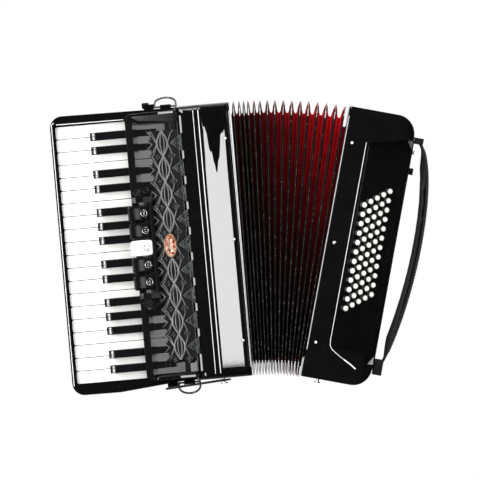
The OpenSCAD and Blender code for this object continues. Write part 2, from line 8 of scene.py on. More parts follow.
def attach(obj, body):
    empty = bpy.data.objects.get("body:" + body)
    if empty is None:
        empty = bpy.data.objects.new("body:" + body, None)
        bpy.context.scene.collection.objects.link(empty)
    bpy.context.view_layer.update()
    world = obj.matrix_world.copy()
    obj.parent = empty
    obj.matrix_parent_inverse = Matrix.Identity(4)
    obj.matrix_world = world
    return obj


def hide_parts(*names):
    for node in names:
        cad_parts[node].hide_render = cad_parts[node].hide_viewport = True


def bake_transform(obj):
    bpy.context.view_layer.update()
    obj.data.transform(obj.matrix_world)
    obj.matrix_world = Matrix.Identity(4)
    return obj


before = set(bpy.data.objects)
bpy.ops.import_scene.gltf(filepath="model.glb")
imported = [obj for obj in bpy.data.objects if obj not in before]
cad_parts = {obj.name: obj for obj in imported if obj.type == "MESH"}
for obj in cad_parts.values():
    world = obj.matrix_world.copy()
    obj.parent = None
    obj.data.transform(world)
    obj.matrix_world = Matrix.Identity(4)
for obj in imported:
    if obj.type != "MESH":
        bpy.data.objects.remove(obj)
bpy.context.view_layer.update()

MM = 0.001

# ------------ dimensions of the instrument

BODY_H = 398
BODY_D = 188
FRONT_Y = -BODY_D / 2
BACK_Y = BODY_D / 2
FOLD_PITCH = 4.4
FOLD_DEPTH = 26
FRAME_T = 3.2
FAN_ANGLE = 15.3
SECTIONS = 8
SECTION_W = 2 * FOLD_PITCH
CLOSED_W = 2 * FRAME_T + SECTIONS * SECTION_W
# How much of the fan's angle lies before each section; the last share is the bass box
SECTION_SHARE = (0, 0.078, 0.118, 0.196, 0.32, 0.471, 0.621, 0.784, 0.961, 1)
BASS_PIVOT_X = 47.8
REGISTER_MID_Z = 198
REGISTER_PITCH = 25
KEY_REAR_VISIBLE_X = -146
PIN_HEIGHTS = (52, 199, 346)
NAIL_Y = -94.7


# ------------ placing things

def swing(x, degrees):
    """Turn about the lower edge of the bellows at x, as the fan opens."""
    pivot = Matrix.Translation((x, 0, 0))
    return pivot @ Matrix.Rotation(radians(degrees), 4, "Y") @ pivot.inverted()


def hinge_x(k):
    return FRAME_T + (k - 1) * SECTION_W


def joint_angle(k):
    return FAN_ANGLE * (SECTION_SHARE[k] - SECTION_SHARE[k - 1])


def section_matrix(k):
    """Where bellows section k stands in the fan; section 0 is the treble box."""
    m = Matrix.Identity(4)
    for j in range(1, k + 1):
        m = m @ swing(hinge_x(j), joint_angle(j))
    return m


IN_PLACE = Matrix.Identity(4)
ON_BASS = swing(BASS_PIVOT_X, FAN_ANGLE) @ Matrix.Translation((CLOSED_W, 0, 0))
SECTION_M = [section_matrix(k) for k in range(SECTIONS + 1)]


def ride(obj, body, slot, *replaced):
    """Let obj move with a body and hide the CAD nodes that it stands for; slot is not used."""
    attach(obj, body)
    if replaced:
        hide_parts(*replaced)


def on_treble(obj, slot, *replaced):
    ride(obj, "treble", slot, *replaced)


# ------------ materials

def put(thing, **settings):
    for name, value in settings.items():
        setattr(thing, name, value)
    return thing


class Tree:
    """Adds nodes to a material or world. Methods that add one return its output socket."""

    def __init__(self, owner):
        owner.use_nodes = True
        self.nodes, self.links = owner.node_tree.nodes, owner.node_tree.links

    def fill(self, node, inputs):
        """Link or set inputs, given as name or place: value."""
        for key, value in inputs.items():
            if isinstance(value, bpy.types.NodeSocket):
                self.links.new(value, node.inputs[key])
            else:
                opaque = node.inputs[key].type == "RGBA"
                node.inputs[key].default_value = (*value, 1) if opaque else value

    def surface(self, inputs):
        self.fill(self.nodes["Principled BSDF"], inputs)

    def add(self, kind, inputs, output=0, **settings):
        node = put(self.nodes.new("ShaderNode" + kind), **settings)
        self.fill(node, inputs if isinstance(inputs, dict) else dict(enumerate(inputs)))
        return node.outputs[output]

    def coords(self):
        return self.add("TexCoord", {}, "Object")

    def axis(self, name):
        return self.add("SeparateXYZ", [self.coords()], name)

    def stretched(self, x, y, z):
        return self.add("Mapping", {"Vector": self.coords(), "Scale": (x, y, z)})

    def noise(self, scale, detail=3, vector=None):
        where = self.coords() if vector is None else vector
        return self.add("TexNoise", {"Vector": where, "Scale": scale, "Detail": detail}, "Fac")

    def cells(self, scale, randomness=1):
        pattern = {"Vector": self.coords(), "Scale": scale, "Randomness": randomness}
        return self.add("TexVoronoi", pattern, "Distance")

    def math(self, operation, *inputs):
        return self.add("Math", inputs, operation=operation)

    def vector(self, operation, *inputs):
        return self.add("VectorMath", inputs, operation=operation)

    def span(self, source, low, high, to_low=0, to_high=1):
        """Map low..high of the source to to_low..to_high."""
        limits = {"From Min": low, "From Max": high, "To Min": to_low, "To Max": to_high}
        return self.add("MapRange", {"Value": source, **limits}, "Result")

    def ramp(self, source, *stops):
        node = self.nodes.new("ShaderNodeValToRGB")
        elements = node.color_ramp.elements
        while len(elements) < len(stops):
            elements.new(0.5)
        for element, (position, colour) in zip(elements, stops):
            element.position = position
            element.color = (*colour, 1)
        self.links.new(source, node.inputs["Fac"])
        return node.outputs["Color"]

    def mix(self, share, first, second):
        return self.add("Mix", {0: share, 6: first, 7: second}, 2, data_type="RGBA")

    def bump(self, height, strength, distance):
        relief = {"Strength": strength, "Distance": distance * MM, "Height": height}
        self.surface({"Normal": self.add("Bump", relief, "Normal")})

    def tilted(self, operation, lean):
        """The surface's normal with a vector added to it or taken from it."""
        normal = self.add("NewGeometry", {}, "Normal")
        return self.vector("NORMALIZE", self.vector(operation, normal, lean))

    def edge_wear(self, base, worn, radius=0.8, amount=0.5):
        """Colour that turns from base to worn where edges catch."""
        rounded = self.add("Bevel", {"Radius": radius * MM}, "Normal", samples=4)
        normal = self.add("NewGeometry", {}, "Normal")
        match = self.add("VectorMath", [rounded, normal], "Value", operation="DOT_PRODUCT")
        return self.mix(self.span(match, 0.98, 0.80, 0, amount), base, worn)


def tinted(colour, factor, lift=0):
    return tuple(min(1, c * factor + lift) for c in colour)


BLACK = (0.0022, 0.0022, 0.0025)


def gloss_black(t, colour=BLACK, roughness=0.03, ripple=0.02, worn=0.2):
    """Celluloid or lacquer over wood: deep gloss with faint ripple, dust haze and rubbed edges."""
    tint = t.ramp(t.noise(35, 4), (0.3, colour), (0.75, tinted(colour, 1.5, 0.0004)))
    t.surface({"Base Color": t.edge_wear(tint, (0.02, 0.02, 0.021), amount=worn),
               "Roughness": t.span(t.noise(160, 5), 0.35, 0.75, roughness, roughness + 0.02),
               "Coat Weight": 0.6, "Coat Roughness": 0.03})
    t.bump(t.noise(9, 2), ripple, 2)


def white_celluloid(t, colour, wood_from_x=None):
    """Key covers: warm white with faint streaks; the part of the key inside the box is bare wood."""
    streaks = t.noise(3, 5, t.stretched(4, 40, 40))
    result = t.ramp(streaks, (0.3, tinted(colour, 0.96)), (0.7, colour))
    if wood_from_x is not None:
        inside = t.span(t.axis("X"), wood_from_x * MM, (wood_from_x + 0.5) * MM)
        result = t.mix(inside, result, t.ramp(streaks, (0.35, (0.45, 0.3, 0.16)), (0.65, (0.62, 0.45, 0.27))))
    t.surface({"Base Color": result, "Roughness": t.span(t.noise(220, 4), 0.3, 0.7, 0.16, 0.26),
               "Subsurface Weight": 0.05, "Subsurface Radius": (0.002, 0.0015, 0.001)})
    t.bump(t.noise(60, 2), 0.03, 0.5)


def metal(t, colour, roughness, scratch, metallic=1):
    """Plated or milled metal with fine scratches and a slightly uneven tone."""
    lines = t.noise(300, 3, t.stretched(1, 1, 14))
    t.surface({"Metallic": metallic,
               "Base Color": t.ramp(t.noise(90, 4), (0.3, tinted(colour, 0.82)), (0.7, colour)),
               "Roughness": t.span(lines, 0.3, 0.7, roughness, roughness + 0.14)})
    t.bump(lines, scratch, 0.08)


def leather(t, colour, scale=900, strength=0.35, roughness=0.45):
    """Grained leather: pebbles from cells, darker creases and a soft sheen."""
    pebbles = t.cells(scale)
    tone = t.ramp(pebbles, (0.05, tinted(colour, 0.45)), (0.55, colour))
    t.surface({"Base Color": t.edge_wear(tone, tinted(colour, 2, 0.01), 1.5, 0.35),
               "Roughness": t.span(t.noise(60, 5), 0.3, 0.7, roughness, roughness + 0.2),
               "Sheen Weight": 0.03, "Sheen Roughness": 0.4})
    t.bump(pebbles, strength, 0.4)


def cloth(t, colour, dark, weave=2600, strength=0.3, roughness=0.75, sheen=0.35):
    """Woven bookbinder's cloth: crossed threads, colour variation and a matt sheen."""
    threads = {"Vector": t.coords(), "Scale": weave / 20, "Distortion": 0.6}
    crossed = t.math("MULTIPLY", *(t.add("TexWave", threads, "Fac", bands_direction=way) for way in "XZ"))
    t.surface({"Base Color": t.ramp(t.noise(45, 5), (0.25, dark), (0.65, colour)),
               "Roughness": roughness, "Sheen Weight": sheen})
    t.bump(crossed, strength, 0.15)


def wood(t, light, dark):
    """Straight-grained spruce with growth rings and pores."""
    grain = t.noise(4, 8, t.stretched(60, 60, 3))
    t.surface({"Base Color": t.ramp(grain, (0.35, dark), (0.62, light)), "Roughness": 0.6})
    t.bump(grain, 0.2, 0.3)


def knurled(t, colour, pale):
    """Cut studs in rows, bright on their tips."""
    studs = t.cells(620, 0.55)
    t.surface({"Base Color": t.ramp(studs, (0.12, pale), (0.42, colour)), "Metallic": 0.5, "Roughness": 0.3})
    t.bump(studs, 0.9, 0.9)


def fold_edge(t):
    """Edge of the fold tape, with painted highlights in small pale dashes where the weave would catch the
    light.
    """
    weave_and_highlight_dashes = t.cells(270)
    # Painted highlight: pale grey-green dashes on the near-black tape edge
    tone = t.ramp(weave_and_highlight_dashes, (0.16, (0.085, 0.10, 0.075)), (0.34, (0.0025, 0.003, 0.0025)))
    t.surface({"Base Color": tone, "Roughness": 0.5})
    t.bump(weave_and_highlight_dashes, 0.4, 0.3)


def mottled_enamel(t):
    stops = (0.36, (0.16, 0.015, 0.012)), (0.5, (0.36, 0.05, 0.03)), (0.62, (0.6, 0.5, 0.38))
    t.surface({"Base Color": t.ramp(t.noise(260, 4), *stops), "Roughness": 0.12, "Coat Weight": 1})


def panel_gloss(t):
    """Black gloss whose surface rolls towards the bellows, so that it catches the window light."""
    gloss_black(t, BLACK, 0.03, 0)
    across = t.span(t.axis("X"), -0.0425, 0)
    lean = t.ramp(across, (0, (0, 0, 0)), (0.07, (0.13, 0, 0)), (0.82, (0.19, 0, 0)), (0.95, (0.5, 0, 0)))
    # Near the top the panel turns away from the light in a ragged tongue
    wander = t.span(t.noise(1, 2, t.stretched(100, 1, 8)), 0.3, 0.7, -0.02, 0.02)
    tongue = ((0.06, 0), (0.18, 0.16), (0.27, 0.5), (0.435, 1), (0.53, 0.77), (0.67, 0.5), (0.88, 0.27))
    reach = t.span(t.ramp(across, *((at, (v, v, v)) for at, v in tongue)), 0, 1, 0.38, 0.298)
    above = t.math("SUBTRACT", t.math("ADD", t.axis("Z"), wander), reach)
    away = t.add("CombineXYZ", {"X": t.span(above, 0, 0.02, 0, 0.45)})
    rolled = t.tilted("ADD", t.vector("ADD", lean, away))
    wave = t.math("MULTIPLY", t.noise(1, 1, t.stretched(60, 1, 7)), t.span(t.axis("Z"), 0.22, 0.38))
    normal = t.add("Bump", {"Strength": 0.12, "Distance": 0.006, "Height": wave, "Normal": rolled}, "Normal")
    t.surface({"Normal": normal, "Coat Normal": normal})


def grille_gloss(t):
    """Black gloss for the slope beside the keys, which catches light as if it were flatter."""
    gloss_black(t, (0.004, 0.004, 0.0042), 0.02, 0)
    stops = (0, 0.15), (0.24, 0.21), (0.47, 0.41), (0.7, 0.74), (1, 0.92)
    lean = t.ramp(t.span(t.axis("X"), -0.146, -0.112), *((at, (amount, 0, 0)) for at, amount in stops))
    t.surface({"IOR": 1.9, "Coat Weight": 0, "Normal": t.tilted("SUBTRACT", lean)})


def dull_black(t, roughness):
    """Black plastic that barely mirrors the lights."""
    gloss_black(t, (0.003, 0.003, 0.0033), roughness, 0.02, 0.5)
    t.surface({"Coat Weight": 0, "Specular IOR Level": 0.15})


def fold_cloth(t):
    """Red cloth with painted shade, darker low down and beside the treble box, and painted light that
    brightens it again at the very ends.
    """
    cloth(t, (0.85, 0.012, 0.03), (0.62, 0.006, 0.016), 2600, 0.3, 0.6, 0)
    tint = t.nodes["Principled BSDF"].inputs["Base Color"].links[0].from_socket
    x, z = t.axis("X"), t.axis("Z")
    # Painted shade: the red is scaled down towards the bottom and towards the treble box
    middle = t.math("MULTIPLY", t.span(z, 0.05, 0.36, 0.1, 1), t.span(x, 0.02, 0.13, 0.35, 1))
    # Painted light: the red is lifted again near the top and bottom ends
    ends = t.math("MAXIMUM", t.span(z, 0.372, 0.378, 0, 0.6), t.span(z, 0.028, 0.02, 0, 0.8))
    painted_shade_and_light = {0: tint, "Scale": t.math("MAXIMUM", middle, ends)}
    t.surface({"Base Color": t.add("VectorMath", painted_shade_and_light, operation="SCALE")})


def pale_floor(t):
    """White to the camera, and dim in anything that mirrors it."""
    ray = t.add("LightPath", {}, "Is Glossy Ray")
    seen = t.add("LightPath", {}, "Is Camera Ray")
    t.surface({"Roughness": 0.9, "Base Color": t.ramp(ray, (0, (0.6,) * 3), (1, (0.02,) * 3)),
               "Emission Color": (1, 1, 1), "Emission Strength": t.span(seen, 0, 1, 0, 0.93)})
    t.bump(t.noise(900, 2), 0.05, 0.2)


FINISHES = {
    "floor": (pale_floor,),
    "celluloid": (gloss_black,),
    "lacquer": (gloss_black, BLACK, 0.05, 0.08),
    "black_key": (gloss_black, (0.0035, 0.0035, 0.004), 0.1, 0.01, 0.4),
    "panel": (panel_gloss,),
    "slope": (grille_gloss,),
    "rack": (dull_black, 0.3),
    "rocker": (dull_black, 0.22),
    "white_key": (white_celluloid, (0.86, 0.855, 0.83), KEY_REAR_VISIBLE_X + 2),
    "ivory": (white_celluloid, (0.88, 0.87, 0.82)),
    "white_register": (white_celluloid, (0.87, 0.87, 0.85)),
    # Painted highlight: white celluloid for strips and tubes laid where black edges catch the light
    "inlay": (white_celluloid, (0.8, 0.8, 0.8)),
    "frame_inlay": (white_celluloid, (0.62, 0.62, 0.62)),
    "dim_inlay": (white_celluloid, (0.42, 0.42, 0.42)),
    # Painted glint: bright metal for the lip of the black keys, standing for the light it catches
    "painted_lip_glint": (metal, (0.75, 0.75, 0.76), 0.15, 0.05),
    "ring": (metal, (0.33, 0.33, 0.34), 0.2, 0.05),
    "chrome": (metal, (0.8, 0.8, 0.82), 0.16, 0.02),
    "steel": (metal, (0.6, 0.6, 0.62), 0.25, 0.2),
    "clip": (metal, (0.7, 0.69, 0.68), 0.3, 0.05, 0.45),
    # Painted shade: a darker copy of the clip metal for most of each upper clip
    "clip_dark": (metal, (0.3, 0.29, 0.29), 0.35, 0.05, 0.45),
    "nail": (metal, (0.9, 0.9, 0.9), 0.35, 0.02, 0.45),
    "brass": (metal, (0.7, 0.52, 0.22), 0.25, 0.1),
    "gold": (metal, (0.5, 0.36, 0.2), 0.25, 0.08),
    # Painted reflection: the fretwork strands and rack scrolls are glossy black, and their grey metal stands
    # for the light they mirror
    "strand": (metal, (0.33, 0.33, 0.34), 0.24, 0.08),
    "scroll": (metal, (0.12, 0.12, 0.125), 0.25, 0.05),
    "black_metal": (metal, (0.02, 0.02, 0.021), 0.4, 0.1),
    "leather": (leather, (0.006, 0.006, 0.006)),
    "lining": (leather, (0.016, 0.015, 0.015), 1400, 0.25, 0.6),
    "thread": (cloth, (0.05, 0.05, 0.05), (0.03, 0.03, 0.03)),
    "tape": (cloth, (0.0045, 0.0045, 0.005), (0.002, 0.002, 0.0022), 3000, 0.25, 0.5, 0),
    "red_cloth": (fold_cloth,),
    "ridge": (fold_edge,),
    "speaker": (cloth, (0.03, 0.03, 0.032), (0.012, 0.012, 0.013), 1500, 0.6, 0.85, 0.2),
    "fret_ground": (cloth, (0.005, 0.005, 0.0055), (0.0025,) * 3, 1500, 0.6, 0.9, 0),
    "studs": (knurled, (0.006, 0.007, 0.007), (0.42, 0.46, 0.45)),
    "enamel": (mottled_enamel,),
    "spruce": (wood, (0.66, 0.5, 0.3), (0.45, 0.31, 0.17)),
}
MAT = {}
for finish, (make, *details) in FINISHES.items():
    MAT[finish] = bpy.data.materials.new(finish)
    make(Tree(MAT[finish]), *details)


# ------------ mesh helpers

def link(name, data):
    obj = bpy.data.objects.new(name, data)
    bpy.context.scene.collection.objects.link(obj)
    return obj


def shade(mesh, smooth=True):
    for polygon in mesh.polygons:
        polygon.use_smooth = smooth


def mesh_object(name, verts, faces, finishes, smooth=True, matrix=IN_PLACE):
    """A mesh from millimetre points; finishes are names in MAT with spaces between them."""
    mesh = bpy.data.meshes.new(name)
    mesh.from_pydata([matrix @ Vector(v) * MM for v in verts], [], faces)
    mesh.validate()
    mesh.update()
    shade(mesh, smooth)
    for finish in finishes.split():
        mesh.materials.append(MAT[finish])
    return link(name, mesh)


def loft(name, rows, finishes, closed=False, smooth=True, matrix=IN_PLACE):
    """Surface through rows of points that all have the same length."""
    n = len(rows[0])
    verts = [p for row in rows for p in row]
    faces = [(i * n + j, i * n + (j + 1) % n, (i + 1) * n + (j + 1) % n, (i + 1) * n + j)
             for i in range(len(rows) - 1) for j in range(n if closed else n - 1)]
    return mesh_object(name, verts, faces, finishes, smooth, matrix)


def round_rows(profile, steps, place):
    """Rows round a profile of (radius, height); place turns (u, v, height) into a point."""
    angles = [2 * pi * a / steps for a in range(steps)]
    return [[place(r * cos(a), r * sin(a), h) for a in angles] for r, h in profile]


def edit(obj, change):
    """Run a change on an object's bmesh and turn its faces outwards."""
    bm = bmesh.new()
    bm.from_mesh(obj.data)
    bm.verts.ensure_lookup_table()
    change(bm)
    bmesh.ops.recalc_face_normals(bm, faces=bm.faces)
    bm.to_mesh(obj.data)
    bm.free()
    return obj


def fix_normals(obj):
    return edit(obj, lambda bm: None)


def close_ends(obj, n):
    """Cap the first and last row, n points long, of a lofted closed section."""
    def cap(bm):
        bm.faces.new([bm.verts[i] for i in range(n)][::-1])
        bm.faces.new(bm.verts[-n:])
    shade(edit(obj, cap).data)


def prism(name, outline, low, high, finish, matrix=IN_PLACE):
    """Solid drawn up from an outline."""
    n = len(outline)
    verts = [(x, y, z) for z in (low, high) for x, y in outline]
    faces = [tuple(range(n - 1, -1, -1)), tuple(range(n, 2 * n))]
    faces += [(i, (i + 1) % n, n + (i + 1) % n, n + i) for i in range(n)]
    return fix_normals(mesh_object(name, verts, faces, finish, matrix=matrix))


def tube(name, points, radius, finish, matrix=IN_PLACE, resolution=3):
    """Round wire through points."""
    curve = put(bpy.data.curves.new(name, "CURVE"), dimensions="3D", bevel_depth=radius * MM,
                bevel_resolution=resolution, use_fill_caps=True)
    spline = curve.splines.new("POLY")
    spline.points.add(len(points) - 1)
    for point, target in zip(points, spline.points):
        target.co = (*(matrix @ Vector(point) * MM), 1)
    spline.use_smooth = True
    curve.materials.append(MAT[finish])
    drawn = link(name, curve)
    bpy.context.view_layer.update()
    mesh = bpy.data.meshes.new_from_object(drawn.evaluated_get(bpy.context.evaluated_depsgraph_get()))
    bpy.data.objects.remove(drawn)
    mesh.name = name
    shade(mesh)
    return link(name, mesh)


def modify(obj, kind, **settings):
    return put(obj.modifiers.new(kind.lower(), kind), **settings)


def bevel(obj, width, segments=3, angle=30, weld=False):
    if weld:
        modify(obj, "WELD", merge_threshold=1e-6)
    modify(obj, "BEVEL", width=width * MM, segments=segments, limit_method="ANGLE",
           angle_limit=radians(angle), miter_outer="MITER_ARC")
    modify(obj, "WEIGHTED_NORMAL", keep_sharp=True, weight=80)
    return obj


def subdivide(obj):
    modify(obj, "SUBSURF", levels=1, render_levels=1)


def apply_modifiers(obj):
    """Bake an object's modifiers into its mesh."""
    mesh = bpy.data.meshes.new_from_object(obj.evaluated_get(bpy.context.evaluated_depsgraph_get()))
    obj.modifiers.clear()
    obj.data = mesh


def join(name, objects):
    """Join pieces into one object named name."""
    bpy.ops.object.select_all(action="DESELECT")
    for obj in objects:
        obj.select_set(True)
    bpy.context.view_layer.objects.active = objects[0]
    bpy.ops.object.join()
    objects[0].name = objects[0].data.name = name
    return objects[0]


# ------------ finishes of the CAD nodes

KEY_NAMES = ("c", "d", "e", "f", "g", "a", "b")
SHARP_NAMES = ("c_sharp", "d_sharp", "f_sharp", "g_sharp", "a_sharp")
KEY_LIP_X_M = -0.19
# Nodes, their finish, width of the soft edges, and segments and angle where not 3 and 30
CAD_FINISHES = (
    ("treble_casing", "lacquer", 1), ("bass_casing", "lacquer", 1.2, 4, 25),
    ("keyboard_bed", "celluloid", 2.2, 4), ("bass_end_cover", "celluloid", 0.8),
    ("treble_bellows_frame bass_bellows_frame bass_button_board", "celluloid", 0.5),
    ("treble_soundboard", "spruce", 0.2), ("treble_reed_blocks bass_reed_block", "spruce", 0.4),
    ("key_axle bass_machine", "steel", 0), ("treble_reed_plates", "steel", 0.2),
    ("strap_adjuster", "steel", 0.3), ("treble_frame_pins bass_frame_pins", "chrome", 0.3),
    ("treble_strap_stud bass_strap_stud", "chrome", 0.4), ("key_springs", "brass", 0),
    ("grille_cloth", "speaker", 0), ("register_rack", "rack", 0.8),
    ("bass_strap_brackets", "leather", 1.5, 4), ("strap_brackets", "black_metal", 0.8),
    ("top_strap_ring bottom_strap_ring", "ring", 0), ("air_button", "black_key", 0.9),
    (" ".join("keys_" + name for name in KEY_NAMES), "white_key", 0.9, 4, 40),
    (" ".join("keys_" + name for name in SHARP_NAMES), "black_key", 1.1, 4, 25),
)


def finish_cad(node, finish, width, segments=3, angle=30):
    """Give a CAD node its material and soft edges."""
    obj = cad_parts[node]
    obj.data.materials.clear()
    obj.data.materials.append(MAT[finish])
    for polygon in obj.data.polygons:
        polygon.material_index = 0
    shade(obj.data)
    if width:
        bevel(obj, width, segments, angle, weld=True)


def finish_cad_nodes():
    for nodes, *finish in CAD_FINISHES:
        for node in nodes.split():
            finish_cad(node, *finish)
    # Painted glint: the sloped lip at each black key's front end takes a bright metal in place of the black,
    # standing for the light it catches
    for name in SHARP_NAMES:
        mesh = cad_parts["keys_" + name].data
        mesh.materials.append(MAT["painted_lip_glint"])
        for polygon in mesh.polygons:
            if polygon.normal.x < -0.5 and polygon.normal.y < -0.2 and polygon.center.x < KEY_LIP_X_M:
                polygon.material_index = 1


# ------------ treble box

END_R = 14.4
END_LOW = -0.4
END_HIGH = BODY_H + 0.4
BED_HIGHLIGHT_Y = -44.1
PANEL_Y = -94.75

SHOULDER = [(-76.7, -77.5), (-76.7, -81), (-76.2, -84.2), (-74.9, -87), (-72.8, -89.3), (-70, -90.8),
            (-66.5, -91.6), (-62, -92.1), (-57, -92.6), (-52, -93.3), (-49.8, -93.6)]
PANEL = [(-42.6, -94), (-42.4, -94.5)] + [(-41.8 + 40.2 * i / 12, PANEL_Y) for i in range(13)] + [
    (-0.9, -94.6), (-0.4, -94.2), (-0.2, -93.6)]
BEAD = [(-50.2, -93.4), (-50.1, -95), (-49.8, -95.5), (-49.4, -95.6), (-43.6, -95.6), (-43.2, -95.5),
        (-42.9, -95), (-42.8, -93.4)]
NAIL_PROFILE = ((2.1, 0), (2.1, 0.4), (1.8, 0.8), (1.2, 1.05), (0.5, 1.15), (0.02, 1.17))


def end_pull(z):
    """How far the rounded ends of the box hold the front back at height z."""
    reach = min(z - END_LOW, END_HIGH - z)
    if reach >= END_R:
        return 0
    return END_R - sqrt(max(0, END_R ** 2 - (END_R - reach) ** 2))


def end_heights(steps=10, middle=12, edge=0.5):
    """Heights that sit close together over the rounded ends."""
    ends = [END_R * (1 - cos(pi / 2 * i / steps)) for i in range(steps + 1)]
    low, high = END_LOW + END_R, END_HIGH - END_R
    inner = [low + edge] + [low + (high - low) * i / middle for i in range(1, middle)] + [high - edge]
    return [END_LOW + e for e in ends] + inner + [END_HIGH - e for e in reversed(ends)]


def front_strip(name, profile, finish, slot="black_celluloid", heights=(END_LOW, END_HIGH)):
    """Strip of the treble front, drawn up the box and back round its two ends."""
    rows = [[(x, y + end_pull(z), z) for x, y in profile]
            for z in end_heights() if heights[0] <= z <= heights[1]]
    ride(loft(name, rows, finish), "treble", slot)


def nail_heads(body, x, matrix=IN_PLACE):
    """Low domed heads with a rolled rim, up the edge of a box."""
    for number, z in enumerate(PIN_HEIGHTS, 1):
        rings = round_rows(NAIL_PROFILE, 20, lambda u, v, out: (x + u, NAIL_Y - out, z + v))
        head = loft("%s_nail_%d" % (body, number), rings, "nail", closed=True, matrix=matrix)
        ride(head, body, "chrome_trim")


def build_treble_box():
    front_strip("treble_shoulder", SHOULDER, "celluloid")
    front_strip("treble_panel", PANEL, "panel")
    front_strip("treble_bead", BEAD, "celluloid")
    # Painted highlights: two thin white strips along the edges of the bead stand for the light caught on its
    # rounded edges
    for name, x, width in (("highlight_line_left", -49.9, 1), ("highlight_line_right", -42.6, 1.4)):
        profile = [(x + width * a, y) for a, y in
                   ((-0.5, -94.6), (-0.35, -95.8), (0, -96), (0.35, -95.8), (0.5, -94.6))]
        front_strip(name, profile, "inlay", "chrome_trim", (6, 392))
    # Painted highlight: thin white tubes along the left and top edges of the keyboard bed stand for the light
    # caught on its rounded edge
    angles = [pi / 2 + i * pi / 8 for i in range(5)]
    corner = [(-253 + 4 * cos(a), BED_HIGHLIGHT_Y, 386 + 4 * sin(a)) for a in angles]
    left = [(-257, BED_HIGHLIGHT_Y, z) for z in (380, 300, 200, 100, 20, 6)]
    on_treble(tube("bed_edge_highlight", corner + left, 0.55, "inlay"), "chrome_trim")
    top = [(x, BED_HIGHLIGHT_Y, z) for x, z in ((-250, 387.4), (-200, 387), (-152, 386.6))]
    on_treble(tube("bed_top_highlight", top, 0.55, "inlay"), "chrome_trim")
    trim = [(1.6, -93.5), (1.7, -94.4), (2.1, -94.6), (2.5, -94.4), (2.6, -93.5)]
    rows = [[(x, y, z) for x, y in trim] for z in (13, 80, 200, 320, 386)]
    on_treble(loft("frame_trim", rows, "frame_inlay"), "chrome_trim")
    nail_heads("treble", -6.5)


# ------------ grille

GRILLE_LINE = ((-149, -47.5), (-146, -50), (-142, -54.5), (-138, -59.6), (-134, -64.3), (-130, -68.3),
               (-126, -71.6), (-122, -74.3), (-116, -77.6), (-108, -81.4), (-100, -85), (-92, -88.2),
               (-84, -90.9), (-78, -92.6), (-74, -93.2))
GRILLE_LOW_Z = 8
GRILLE_HIGH_Z = 390
GRILLE_T = 1.5
FRET_PITCH = 37
FRET_REPEATS = 9
FRET_LEFT_X = -116
FRET_RIGHT_X = -74.5
FRET_MID_X = -98
RIBBON_PROFILE = ((-1, -0.3), (-0.9, 0.55), (-0.45, 0.95), (0, 1), (0.45, 0.95), (0.9, 0.55), (1, -0.3))


def grille_y(x):
    """Depth of the grille's face: steep beside the keys and flatter under the fretwork."""
    for (x0, y0), (x1, y1) in zip(GRILLE_LINE, GRILLE_LINE[1:]):
        if x <= x1:
            return y0 + (y1 - y0) * (x - x0) / (x1 - x0)
    return GRILLE_LINE[-1][1]


def on_grille(x, z, lift=0):
    """Point of the grille's face, lifted off it along its normal."""
    slope = (grille_y(x + 1) - grille_y(x - 1)) / 2
    length = hypot(slope, 1)
    return x + slope / length * lift, grille_y(x) - lift / length, z


def ribbon(path, width, height, finish):
    """Raised strand with a rounded top, laid on the grille along points (x, z)."""
    rows = []
    for i, (x, z) in enumerate(path):
        before, after = path[max(0, i - 1)], path[min(len(path) - 1, i + 1)]
        dx, dz = after[0] - before[0], after[1] - before[1]
        reach = width / 2 / (hypot(dx, dz) or 1)
        rows.append([on_grille(x - dz * reach * a, z + dx * reach * a, h * height)
                     for a, h in RIBBON_PROFILE])
    return loft("ribbon", rows, finish)


def tile(corners, finish, lift=0.6, crown=0.7):
    """Flat insert with a bevelled edge, laid on the grille."""
    cx, cz = (sum(p[axis] for p in corners) / len(corners) for axis in (0, 1))
    outline = []
    for (x, z), (nx, nz) in zip(corners, corners[1:] + corners[:1]):
        outline += [(x + (nx - x) * step / 4, z + (nz - z) * step / 4) for step in range(4)]
    top = lift + crown
    rings = [[on_grille(cx + (x - cx) * share, cz + (z - cz) * share, h) for x, z in outline]
             for share, h in ((1, -0.4), (0.98, lift), (0.86, top), (0.5, top), (0.02, top))]
    return loft("tile", rings, finish, closed=True, smooth=False)


def build_grille():
    xs = [-149 + i * 1.5 for i in range(51)]
    heights = [GRILLE_LOW_Z, GRILLE_LOW_Z + 0.6] + [14 + 10 * i for i in range(37)]
    heights += [GRILLE_HIGH_Z - 0.6, GRILLE_HIGH_Z]
    rows = []
    for z in heights:
        tuck = 3 if z in (GRILLE_LOW_Z, GRILLE_HIGH_Z) else 0
        rows.append([(x, min(grille_y(x) + tuck, -44), z) for x in xs])
    sheet = loft("grille_front", rows, "slope")
    modify(sheet, "SOLIDIFY", thickness=GRILLE_T * MM, offset=-1)
    on_treble(sheet, "black_celluloid", "treble_grille")
    outline = [(x, grille_y(x) + 1) for x in xs[2:]] + [(-74, -52), (-110, -46), (-146, -46)]
    for number, (z0, z1) in enumerate(((GRILLE_LOW_Z - 3.5, GRILLE_LOW_Z + 1.5),
                                       (GRILLE_HIGH_Z - 1.5, GRILLE_HIGH_Z + 3.5)), 1):
        end = prism("grille_end_%d" % number, outline, z0, z1, "celluloid")
        on_treble(bevel(end, 1.2, 4, 35), "black_celluloid")
    rows = []
    for z in (32.5 + 4.5 * step for step in range(75)):
        swell = abs((z - REGISTER_MID_Z) / (FRET_PITCH / 2) % 2 - 1)
        left = FRET_LEFT_X + 5 * abs(2 * swell - 1)
        rows.append([on_grille(left + (FRET_RIGHT_X - left) * i / 20, z, 0.35) for i in range(21)])
    on_treble(loft("fret_bed", rows, "fret_ground"), "speaker_cloth")
    square = [(-150.4, -52.2), (-143.4, -52.2), (-143.4, -45.5), (-150.4, -45.5)]
    on_treble(bevel(prism("grille_rail", square, 7, 391, "rack"), 0.8), "black_lacquer")
    build_fretwork()
    build_badge()
    build_rack_scrolls()


